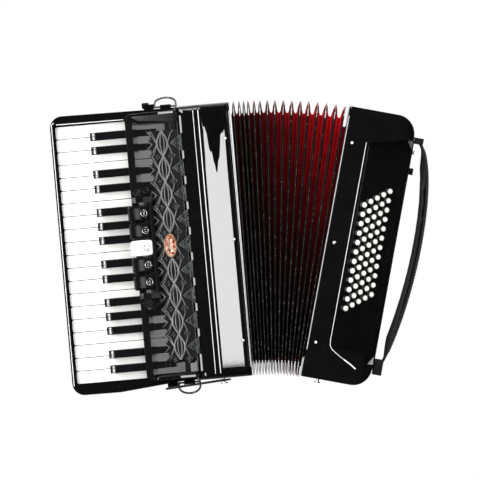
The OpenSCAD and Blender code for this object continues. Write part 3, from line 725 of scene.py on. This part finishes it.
def build_fretwork():
    """Crossing waves, leaves and arrow heads that repeat up the grille, with studded inserts."""
    strands, tiles = [], []
    half = FRET_PITCH / 2
    for i in range(FRET_REPEATS):
        from_middle = i - FRET_REPEATS // 2
        mid = REGISTER_MID_Z + 0.5 + from_middle * FRET_PITCH
        lines = [([(-120, mid - 7), (-113, mid), (-120, mid + 7)], 1.5, 1.1),
                 ([(-69.2, mid + 12.8), (-86.2, mid), (-69.2, mid - 12.8)], 1.2, 1.3)]
        for way in (-1, 1):
            lines.append(([(-119, mid + way * half), (-112, mid + way * 11), (-106, mid)], 1.4, 1.1))
            for side in (-1, 1):
                leaf = ((7.6, 0), (13, way * (half - 4)), (17, way * half))
                lines.append(([(FRET_MID_X + side * x, mid + dz) for x, dz in leaf], 1.6, 1.2))
            # The badge takes the place of the middle waves
            for bulge, width, height in ((7.5, 2.8, 1.7), (3, 1.6, 1.3)) if from_middle else ():
                wave = [(FRET_MID_X + way * bulge * sin(pi * s / 24), mid + half * (s / 12 - 1))
                        for s in range(25)]
                lines.append((wave, width, height))
        # The grey of the strands is painted reflection on glossy black
        strands += [ribbon(path, width, height, "strand") for path, width, height in lines]
        for x, w, h in ((-86, 5.5, 6.5), (-106, 4, 4.5)):
            low = mid - half
            tiles.append(tile([(x - w, low), (x, low + h), (x + w, low), (x, low - h)], "studs"))
        tiles.append(tile([(-85, mid), (-69, mid + 12), (-69, mid - 12)], "studs"))
    on_treble(join("fretwork", strands), "black_celluloid")
    on_treble(join("fret_tiles", tiles), "black_celluloid")


def build_rack_scrolls():
    """Cast scrolls that hold both ends of the register rack against the grille."""
    plate = ((-148, 0), (-148, 9), (-144, 14.5), (-138, 13), (-133, 17), (-127, 18.5), (-121, 15),
             (-117.5, 8), (-119, 0))
    for number, way in enumerate((-1, 1), 1):
        root = REGISTER_MID_Z + way * 73.5
        parts = [tile([(x, root + way * dz) for x, dz in plate], "rocker", 0.8, 0.6)]
        for cx, dz, spin in ((-141, 6.5, 1), (-127.5, 9, -1)):
            spiral = [(step * 0.42, 5.6 - step * 0.2) for step in range(22)]
            curl = [(cx + spin * r * cos(a), root + way * (dz + r * sin(a))) for a, r in spiral]
            # The grey of the scrolls is painted reflection on glossy black
            parts.append(ribbon(curl, 1.5, 2.6, "scroll"))
        on_treble(fix_normals(join("rack_scroll_%d" % number, parts)), "black_lacquer")


BADGE_X = -98.5
BADGE_HALF_W = 8.6
BADGE_HALF_H = 16.5


def on_badge(u, v, lift):
    return on_grille(BADGE_X + BADGE_HALF_W * u, REGISTER_MID_Z + BADGE_HALF_H * v, lift)


def build_badge():
    """Plain oval badge with a ring of petals."""
    rim = ((1.08, -0.4), (1.08, 1.6), (1.03, 2.4), (0.97, 2.6), (0.91, 2.3), (0.88, 1.5))
    face = ((0.9, 1.4), (0.7, 2.1), (0.4, 2.6), (0.02, 2.8))
    for name, profile, finish, replaced in (("badge_rim", rim, "gold", ["emblem"]),
                                            ("badge_face", face, "enamel", [])):
        piece = loft(name, round_rows(profile, 40, on_badge), finish, closed=True)
        on_treble(piece, "badge_gold", *replaced)
    petals = []
    for angle in (petal * pi / 4 for petal in range(8)):
        rows = []
        for r, w, drop in ((0.12, 0.3, 0), (0.3, 1.3, 0.2), (0.5, 1.1, 0.4), (0.7, 0.15, 0.6)):
            x = BADGE_X + BADGE_HALF_W * r * cos(angle)
            z = REGISTER_MID_Z + BADGE_HALF_H * r * sin(angle)
            rows.append([on_grille(x - sin(angle) * w * s, z + cos(angle) * w * s, 2.5 + h - drop)
                         for s, h in ((-1, 0), (-0.5, 0.55), (0, 0.8), (0.5, 0.55), (1, 0))])
        petals.append(loft("petal", rows, "gold"))
    on_treble(join("badge_petals", petals), "badge_gold")


# ------------ register switches

SWITCH_TOP = [(-157.2, -72), (-156.4, -75), (-154.6, -78), (-151.5, -80.8), (-147.5, -83),
              (-142.5, -84.9), (-137, -86.2), (-132, -86.6), (-128, -85.6), (-125.6, -83.6),
              (-124.9, -80.8)]
SWITCH_BACK = [(-126.5, -78.6), (-130.5, -77), (-137, -75), (-146, -71), (-153, -69.6),
               (-156.4, -70.2)]
SWITCH_MID_X = -141
SWITCH_MID_Y = -77
SWITCH_HALF_H = 11.7
SWITCH_STEPS = 12
WHITE_SWITCH = 3
MARKER_TILT = radians(-6)


def marker_ring(z, major, minor, steps=32, sides=10):
    """Ring on the face of a switch at height z."""
    rows = []
    for i in range(steps + 1):
        a = 2 * pi * i / steps
        row = []
        for b in (2 * pi * j / sides for j in range(sides)):
            r = major + minor * cos(b)
            u, v, w = r * cos(a), -minor * sin(b), r * sin(a)
            row.append((-133.5 + u * cos(MARKER_TILT) - v * sin(MARKER_TILT),
                        -87.2 + u * sin(MARKER_TILT) + v * cos(MARKER_TILT), z + w))
        rows.append(row)
    return loft("marker", rows, "chrome", closed=True)


def build_registers():
    outline = SWITCH_TOP + SWITCH_BACK
    shrinks = [0.86, 0.96] + [1] * (SWITCH_STEPS - 3) + [0.96, 0.86]
    for number in range(1, 6):
        z = REGISTER_MID_Z + (3 - number) * REGISTER_PITCH
        body = "register_%d" % number
        white = number == WHITE_SWITCH
        rows = []
        for i, shrink in enumerate(shrinks):
            u = -1 + 2 * i / SWITCH_STEPS
            dish = 0.4 * (1 - u * u)
            rows.append([(SWITCH_MID_X + (x - SWITCH_MID_X) * shrink,
                          SWITCH_MID_Y + (y - SWITCH_MID_Y) * shrink - (dish if y < SWITCH_MID_Y else 0),
                          z + SWITCH_HALF_H * u) for x, y in outline])
        finish = "white_register" if white else "rocker"
        rocker = loft("register_rocker_%d" % number, rows, finish, closed=True)
        close_ends(rocker, len(outline))
        subdivide(rocker)
        ride(rocker, body, "white_celluloid" if white else "black_celluloid", "register_switch_%d" % number)
        dots = [marker_ring(z + (d - 0.5) * 2.6, 0.9, 0.45, 16, 6) for d in range(1 + number * 2 % 3)]
        ride(join("register_marker_%d" % number, [marker_ring(z, 4.4, 0.7)] + dots), body, "chrome_trim")


# ------------ bellows

NOSE_HALF = 0.75
NOSE_DEPTH = 1.3
TAPE_DEPTH = 8.5
LIP_DEPTH = TAPE_DEPTH + 0.4
CLIP_REACH = 22
CLIP_LEG = 21
CLIP_PROFILE = ((-1, 3), (-1, 1.2), (-0.75, -0.05), (0, -0.3), (0.75, -0.05), (1, 1.2), (1, 3))
LAST_RIDGE = 2 * SECTIONS
RELIEF = 1.3
RELIEF_H = 165
RING_CORNER_R = 3
# Corner gussets are shallower than the folds between them
GUSSET_DEPTH = 17
END_SHARES = (0.11, 0.3, 0.5, 0.7, 0.89)
SIDE_SHARES = (0.052, 0.12, 0.22, 0.32, 0.42, 0.5, 0.58, 0.68, 0.78, 0.88, 0.948)
SLEEVE_INSET = 3.2
BELLOWS_FINISHES = "ridge tape red_cloth"


def ring_points(inset, gusseted=True):
    """Points round the bellows at a depth below its ridges, as (y, z), always the same number."""
    gusset = min(inset, GUSSET_DEPTH) + 0.1 * max(0, inset - GUSSET_DEPTH) if gusseted else inset
    y0, y1, z0, z1 = FRONT_Y + inset, BACK_Y - inset, gusset, BODY_H - gusset
    r = max(0.4, RING_CORNER_R - inset * 0.5)
    points = []
    corners = ((y0, z1), (y1, z1), (y1, z0), (y0, z0))
    for index, (cy, cz) in enumerate(corners):
        ny, nz = corners[(index + 1) % 4]
        sy, sz = (1 if cy == y0 else -1), (1 if cz == z0 else -1)
        for step in range(4):
            a = radians(180 - 90 * index - 30 * step)
            points.append((cy + sy * r + r * cos(a), cz + sz * r + r * sin(a)))
        # Ends of the box run along y and sink in the middle; its front and back run along z
        along_y = index % 2 == 0
        for t in (END_SHARES if along_y else SIDE_SHARES):
            ay, az = cy + (sy * r if along_y else 0), cz + (0 if along_y else sz * r)
            by, bz = ny - (sy * r if along_y else 0), nz - (0 if along_y else sz * r)
            deep = (inset - gusset) * (-1 if index == 0 else 1) if along_y else 0
            points.append((ay + (by - ay) * t, az + (bz - az) * t + deep))
    return points


def ridge_matrix(i):
    """Where ridge i stands; even ridges belong to a section and odd ones lie halfway into the next."""
    k = (i + 1) // 2
    if i == 0:
        return Matrix.Identity(4)
    if i % 2 == 0:
        return SECTION_M[k]
    return SECTION_M[k - 1] @ swing(hinge_x(k), joint_angle(k) / 2)


def ridge_x(i):
    return FRAME_T + FOLD_PITCH * (i - 0.5)


def relief(i, z):
    """The last ridge leans clear of the bass frame, which closes on it when the fan is wide open."""
    return RELIEF * max(0, 1 - z / RELIEF_H) if i == LAST_RIDGE else 0


def ring_at(i, ahead, inset, gusseted=True):
    """Ring of points ahead of ridge i's middle, at a depth below it."""
    m, x = ridge_matrix(i), ridge_x(i) + ahead
    return [m @ Vector((x - relief(i, z), y, z)) for y, z in ring_points(inset, gusseted)]


# Rows of a fold's wall as (share of the nose's half width, depth); None follows the straight wall
NOSE_ROWS = ((0, 0), (0.55, 0.25), (0.9, 0.75), (1, NOSE_DEPTH))
WALL_DEPTHS = (4, TAPE_DEPTH, LIP_DEPTH, 15, 20, FOLD_DEPTH - 0.6, FOLD_DEPTH)
WALL_ROWS = NOSE_ROWS + tuple((None, depth) for depth in WALL_DEPTHS)


def wall_share(depth):
    return (depth - NOSE_DEPTH) / (FOLD_DEPTH - NOSE_DEPTH)


def gap_rows(left, right):
    """Rows of the cloth from one ridge down to the valley and up to the next, with each row's depth."""
    rows = []
    for (across, depth), mirrored in ([(row, False) for row in WALL_ROWS]
                                      + [(row, True) for row in reversed(WALL_ROWS[:-1])]):
        row = []
        for p, q in zip(ring_at(left, 0, depth), ring_at(right, 0, depth)):
            width = (q - p).length
            nose = min(NOSE_HALF, width * 0.3)
            if across is not None:
                g = nose * across / width
            elif depth == FOLD_DEPTH:
                g = 0.5
            else:
                reach = nose + (width / 2 - nose) * wall_share(depth)
                lift = 0.28 if depth <= TAPE_DEPTH else 0
                g = min(0.5, (reach + lift) / width)
            row.append(tuple(p + (q - p) * (1 - g if mirrored else g)))
        rows.append((row, depth))
    return rows


def bellows_piece(name, rows):
    """Cloth through rows with their depths: an edge with painted highlight dashes on the ridges, then black
    tape, then red cloth.
    """
    depths = [depth for row, depth in rows]
    obj = loft(name, [row for row, depth in rows], BELLOWS_FINISHES, closed=True)
    n = len(rows[0][0])
    # The red cloth reaches up to the corner clips
    near_end = [min(z, BODY_H - z) < CLIP_REACH for y, z in ring_points(0)]
    for polygon in obj.data.polygons:
        i, j = divmod(polygon.index, n)
        depth = max(depths[i], depths[i + 1])
        tape = NOSE_DEPTH if near_end[j] and near_end[(j + 1) % n] else TAPE_DEPTH
        polygon.material_index = 0 if depth <= 0.75 else (1 if depth <= tape else 2)
    return obj


def corner_clips(i):
    """Four metal corner clips of ridge i, bent over the ridge and round the corner."""
    m, x = ridge_matrix(i), ridge_x(i)
    half = 0.6 if i % 2 else 0.8
    front_leg = CLIP_LEG * (0.7 if i == LAST_RIDGE else 1)
    path = [("side", front_leg), ("side", CLIP_LEG / 2), ("side", 3), ("corner", 0),
            ("end", 3), ("end", CLIP_LEG / 2), ("end", CLIP_LEG)]
    clips = []
    for sy, top in ((-1, True), (-1, False), (1, True), (1, False)):
        rows = []
        for kind, along in path:
            row = []
            for across, depth in CLIP_PROFILE:
                corner = depth + 0.8
                y, z = {"side": (depth, max(along, depth)), "end": (max(along, depth), depth),
                        "corner": (corner, corner)}[kind]
                z = BODY_H - z if top else z
                row.append(tuple(m @ Vector((x - relief(i, z) + half * across, sy * (BACK_Y - y), z))))
            rows.append(row)
        clip = loft("clip", rows, "clip clip_dark")
        # Painted shade: the upper clips take a darker copy of the clip metal, and only the far end of their
        # front leg keeps the bright one
        for polygon in clip.data.polygons:
            polygon.material_index = 1 if top and polygon.index >= len(CLIP_PROFILE) - 1 else 0
        clips.append(clip)
    return join("bellows_clips_%d" % i, clips)


def body_name(k):
    return "treble" if k == 0 else "bellows_%d" % k


def build_bellows():
    """Each section's piece holds one whole odd fold and the halves beside its two even ridges."""
    for k in range(1, SECTIONS + 1):
        odd, even = 2 * k - 1, 2 * k
        first = gap_rows(odd - 1, odd)[len(WALL_ROWS) - 1 if k == 1 else 0:]
        cloth_piece = bellows_piece("bellows_cloth_%d" % k, first + gap_rows(odd, even)[1:])
        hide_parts("bellows_section_%d" % k)
        odd_clips = corner_clips(odd)
        for piece in (cloth_piece, odd_clips):
            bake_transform(piece)
        ride(corner_clips(even), body_name(k), "chrome_trim")
    build_sleeve()


def build_sleeve():
    """The last fold's far wall and an inner sleeve that slides inside the bass frame."""
    to_frame = FOLD_PITCH / 2
    rows = [(ring_at(LAST_RIDGE, NOSE_HALF * across, depth), depth) for across, depth in NOSE_ROWS]
    for depth in (4, TAPE_DEPTH, LIP_DEPTH, 15, FOLD_DEPTH):
        ahead = NOSE_HALF + (to_frame - 1.2 - NOSE_HALF) * wall_share(depth)
        rows.append((ring_at(LAST_RIDGE, ahead, depth, depth < 15), depth))
    far = FRAME_T + SECTIONS * SECTION_W
    for ahead in (-0.8, 7, 14):
        ring = ring_points(FOLD_DEPTH + SLEEVE_INSET, False)
        rows.append(([SECTION_M[SECTIONS] @ Vector((far + ahead, y, z)) for y, z in ring], FOLD_DEPTH))
    ride(bellows_piece("bellows_sleeve", rows), "bellows_8", "bellows_dark")


# ------------ bass box

RECESS_X = 30
BOARD_SLOPE = 45
BUTTON_COLUMNS = 5
BUTTON_ROWS = 12
BUTTON_R = 3.95
# Domed profile of a button as radius and height above the board
BUTTON_PROFILE = ((3.1, 0), (3.1, 0.5), (3.75, 0.9), (BUTTON_R, 1.7), (BUTTON_R, 2.3), (3.7, 3.3), (3.1, 4.2),
                  (2.2, 4.75), (1.2, 4.9), (0.7, 4.72), (0.02, 4.62))


def build_buttons():
    """Domed bass buttons with a small dimple, in five slanting columns of twelve."""
    on_board = (ON_BASS @ Matrix.Translation((RECESS_X, FRONT_Y, 0))
                @ Matrix.Rotation(radians(BOARD_SLOPE), 4, "Z"))
    for column in range(BUTTON_COLUMNS):
        number = column + 1
        buttons = []
        for row in range(BUTTON_ROWS):
            s, z = 17 + 11.9 * column, 107.9 + 6.6 * column + 13.88 * row
            rings = round_rows(BUTTON_PROFILE, 24, lambda u, v, h: (s + u, -h, z + v))
            buttons.append(loft("button", rings, "ivory", closed=True, matrix=on_board))
        tops = join("bass_button_tops_%d" % number, buttons)
        ride(tops, "buttons_%d" % number, "ivory_plastic", "bass_buttons_%d" % number)


def build_bass():
    build_buttons()
    trim = [(-2.3, -93.6), (-2.1, -94.3), (-1.5, -94.6), (-0.9, -94.3), (-0.7, -93.6)]
    rows = [[(x, y, z) for x, y in trim] for z in (40, 120, 240, 330, 384)]
    ride(loft("bass_frame_trim", rows, "dim_inlay", matrix=ON_BASS), "bass", "chrome_trim")
    # Painted highlight: white tubes round the board's recess stand for the light on its rounded rim, and
    # their lower end sweeps out to the box's side
    rim = [(0, z) for z in (350, 300, 200, 100, 60)]
    sweep = [(0.6, 52), (4, 46.5), (12, 41), (24, 34.5), (36, 28.5), (43, 24)]
    for name, line, radius, proud in (("recess_edge_highlight", rim + sweep, 0.45, 0.15),
                                      ("recess_highlight_tail", sweep[3:], 1, 0.2)):
        points = [(RECESS_X + x, FRONT_Y - proud, z) for x, z in line]
        ride(tube(name, points, radius, "inlay", ON_BASS), "bass", "chrome_trim")
    nail_heads("bass", 9.5, ON_BASS)


# ------------ hand strap

STRAP_POINTS = [Vector(p) for p in ((109, 358), (139, 312), (139, 150), (110, 47))]
STRAP_WIDTH = 64
STRAP_STEPS = 64
STRAP_ACROSS = 14


def on_strap(t, lift, y=0):
    """Point at t along the hand strap's line, lifted off it away from the box."""
    a, b, c, d = STRAP_POINTS
    u = 1 - t
    at = a * u ** 3 + b * 3 * t * u ** 2 + c * 3 * t * t * u + d * t ** 3
    way = (b - a) * 3 * u * u + (c - b) * 6 * t * u + (d - c) * 3 * t * t
    out = Vector((-way.y, way.x)).normalized()
    return at.x + out.x * lift, y, at.y + out.y * lift


def strap_section(name, width, outer, inner, crown, finish, t0, t1):
    """Closed band along the strap's line between two offsets from it, fuller in the middle by crown."""
    rows = []
    for i in range(STRAP_STEPS + 1):
        t = t0 + (t1 - t0) * i / STRAP_STEPS
        end = min(1, min(t - t0, t1 - t) / (0.03 * (t1 - t0)))
        fullness = crown * sin(pi / 2 * end)
        row = []
        for side, offset in ((1, outer), (-1, inner)):
            for j in range(STRAP_ACROSS + 1):
                u = side * (-1 + 2 * j / STRAP_ACROSS)
                row.append(on_strap(t, offset + side * fullness * (1 - u ** 4), width / 2 * u))
        rows.append(row)
    obj = loft(name, rows, finish, closed=True, matrix=ON_BASS)
    close_ends(obj, len(rows[0]))
    return obj


def puff(obj, voxel=4.5, cap=3.5, pressure=4, frames=14):
    """Swell a padded leather piece with a short cloth simulation, then keep the result."""
    modify(obj, "REMESH", mode="VOXEL", voxel_size=voxel * MM)
    apply_modifiers(obj)
    start = [v.co.copy() for v in obj.data.vertices]
    sim = modify(obj, "CLOTH")
    put(sim.settings, quality=6, mass=0.2, tension_stiffness=18, compression_stiffness=18,
        bending_stiffness=4, use_pressure=True, uniform_pressure_force=pressure)
    sim.settings.effector_weights.gravity = 0
    sim.collision_settings.use_collision = False
    put(sim.point_cache, frame_start=1, frame_end=frames)
    for frame_number in range(1, frames + 1):
        bpy.context.scene.frame_set(frame_number)
    apply_modifiers(obj)
    for vertex, before in zip(obj.data.vertices, start):
        move = vertex.co - before
        if move.length > cap * MM:
            vertex.co = before + move * (cap * MM / move.length)
    bpy.context.scene.frame_set(1)
    modify(obj, "SMOOTH", iterations=3, factor=0.5)
    subdivide(obj)
    shade(obj.data)


def build_strap():
    pad = strap_section("bass_strap_pad", STRAP_WIDTH - 8, 1.6, -2.6, 0.8, "lining", -0.012, 1.004)
    puff(pad)
    ride(pad, "bass", "leather", "bass_strap")
    band = strap_section("bass_strap_band", STRAP_WIDTH, 4.6, 1.8, 0.5, "leather", -0.035, 1.018)
    ride(bevel(band, 0.7, 3, 40), "bass", "leather")
    for number, side in enumerate((-1, 1), 1):
        edge = [on_strap(i / STRAP_STEPS, 3.6, side * (STRAP_WIDTH / 2 - 0.6)) for i in range(1, STRAP_STEPS)]
        ride(tube("strap_edge_%d" % number, edge, 1.1, "leather", ON_BASS), "bass", "leather")
        parts = []
        stitches, first, last = 90, 0.03, 0.97
        pitch = (last - first) / stitches
        for i in range(stitches):
            a = first + pitch * i
            points = [on_strap(a + pitch * 0.62 * share, 5 + h, side * (STRAP_WIDTH / 2 - 5))
                      for share, h in ((0, 0), (0.25, 0.45), (0.5, 0.55), (0.75, 0.45), (1, 0))]
            parts.append(tube("stitch", points, 0.45, "thread", ON_BASS, 1))
        ride(join("strap_stitches_%d" % number, parts), "bass", "leather")


# ------------ strap fittings

CLOSING_L = 96
CLOSING_HALF_W = 10.5
CLOSING_DROP = 6.2
CLOSING_ROOT = (-124.2, -66, -9)
SCREW_Y = 58
SCREW_Z = 405.6


def build_fittings():
    # Leather closing strap with a rounded end and a row of stitches on both edges
    half = CLOSING_HALF_W
    angles = [radians(a) for a in range(0, 181, 15)]
    tip = [(CLOSING_L - half + half * sin(a), -half * cos(a)) for a in angles]
    lie = (Matrix.Translation(CLOSING_ROOT)
           @ Matrix.Rotation(-atan2(CLOSING_DROP, CLOSING_L), 4, "Y"))
    strap = prism("closing_leather", [(0, -half)] + tip + [(0, half)], -1.4, 1.3, "leather", lie)
    on_treble(bevel(strap, 0.8, 3, 40), "leather", "closing_strap")
    parts = []
    for side in (-1, 1):
        for x in (3 + i * 3.9 for i in range(22)):
            points = [(x + dx, side * (half - 2), z)
                      for dx, z in ((0, 1.3), (0.7, 1.75), (1.9, 1.75), (2.5, 1.3))]
            parts.append(tube("stitch", points, 0.35, "thread", lie, 1))
    on_treble(join("closing_stitches", parts), "leather")
    # Knurled screw head beside the top bracket
    rings = []
    for x, r in ((-124.5, 0.02), (-124.5, 3.2), (-123.6, 4.1), (-115, 4.1), (-114.2, 3.3), (-114.2, 0.02)):
        knurls = [(r + 0.25 * (a % 2), a * pi / 18) for a in range(36)]
        rings.append([(x, SCREW_Y + k * cos(a), SCREW_Z + k * sin(a)) for k, a in knurls])
    on_treble(loft("bracket_screw", rings, "black_metal", closed=True), "black_metal")


# ------------ studio

LIGHT_AIM = (0, 0, 0.2)
FLOOR_Z = -110
FLOOR_SIZE = 2600
CAMERA_ROLL = 5.014
CAMERA_AIM = (0.0021, 0, 0.1973)
CAMERA_BACK = 12
FOCUS_AHEAD = 0.06
FIELD_WIDTH = 0.698
SENSOR = 36


def area_light(name, location, size, energy, target=LIGHT_AIM):
    light = put(bpy.data.lights.new(name, "AREA"), shape="RECTANGLE", energy=energy)
    light.size, light.size_y = size
    obj = put(link(name, light), location=location, visible_camera=False)
    obj.rotation_euler = (Vector(target) - Vector(location)).to_track_quat("-Z", "Y").to_euler()
    return obj


def studio():
    world = bpy.data.worlds.new("studio")
    bpy.context.scene.world = world
    t = Tree(world)
    t.nodes.clear()
    # Behind and beside the object, polished surfaces mirror a soft pale wall that fades towards the front
    split = t.add("SeparateXYZ", [t.add("TexCoord", {}, "Generated")]).node
    wall = t.span(split.outputs["Y"], 0.1, 0.8, 0.03, 0.9)
    fade = t.span(split.outputs["Z"], -0.6, 0.5, 0.25, 1)
    white, soft, mirrored = (t.add("Background", {"Color": (1, 1, 1), "Strength": strength})
                             for strength in (1, 0.75, t.math("MULTIPLY", wall, fade)))
    unseen = t.add("MixShader", [t.add("LightPath", {}, "Is Glossy Ray"), soft, mirrored])
    result = t.add("MixShader", [t.add("LightPath", {}, "Is Camera Ray"), unseen, white])
    t.links.new(result, t.nodes.new("ShaderNodeOutputWorld").inputs["Surface"])
    for light in (area_light("key", (-1.6, -2, 1.5), (1.5, 1.5), 46),
                  area_light("fill", (2, -1.6, 1.1), (0.8, 1.4), 16),
                  area_light("back", (0.3, 2.4, 1.3), (1.6, 1.4), 22)):
        light.visible_glossy = False
    area_light("window", (0.82, -2.45, 0.19), (0.58, 0.42), 9, (0, 0, 0.19))
    area_light("strip", (-1.5, -1.9, 0.2), (0.8, 1.1), 24)
    area_light("top", (0.1, -0.5, 2.2), (1.8, 0.9), 22)
    # Dim panels that only show as soft reflections in the back and the left side
    area_light("back_panel", (1.05, 1.2, 0), (0.3, 0.55), 0.8)
    area_light("left_panel", (-1.3, 0.12, 0.08), (0.3, 0.3), 0.6)


def build_floor():
    corners = [(x * FLOOR_SIZE, y * FLOOR_SIZE, FLOOR_Z) for x, y in ((-1, -0.5), (1, -0.5), (1, 1), (-1, 1))]
    obj = mesh_object("floor", corners, [(0, 1, 2, 3)], "floor")
    obj.visible_glossy = False


def camera():
    obj = link("camera", put(bpy.data.cameras.new("camera"), sensor_width=SENSOR, clip_end=100,
                             lens=SENSOR * (CAMERA_BACK - FOCUS_AHEAD) / FIELD_WIDTH))
    roll = radians(CAMERA_ROLL)
    right = Vector((cos(roll), 0, -sin(roll)))
    up = Vector((sin(roll), 0, cos(roll)))
    back = Vector((0, -1, 0))
    turn = Matrix((right, up, back)).transposed().to_4x4()
    obj.matrix_world = Matrix.Translation(Vector(CAMERA_AIM) + back * CAMERA_BACK) @ turn
    bpy.context.scene.camera = obj


finish_cad_nodes()
build_treble_box()
build_grille()
build_registers()
build_bellows()
build_bass()
build_strap()
build_fittings()
studio()
build_floor()
camera()
bpy.context.scene.view_settings.view_transform = "Standard"
bpy.context.view_layer.update()
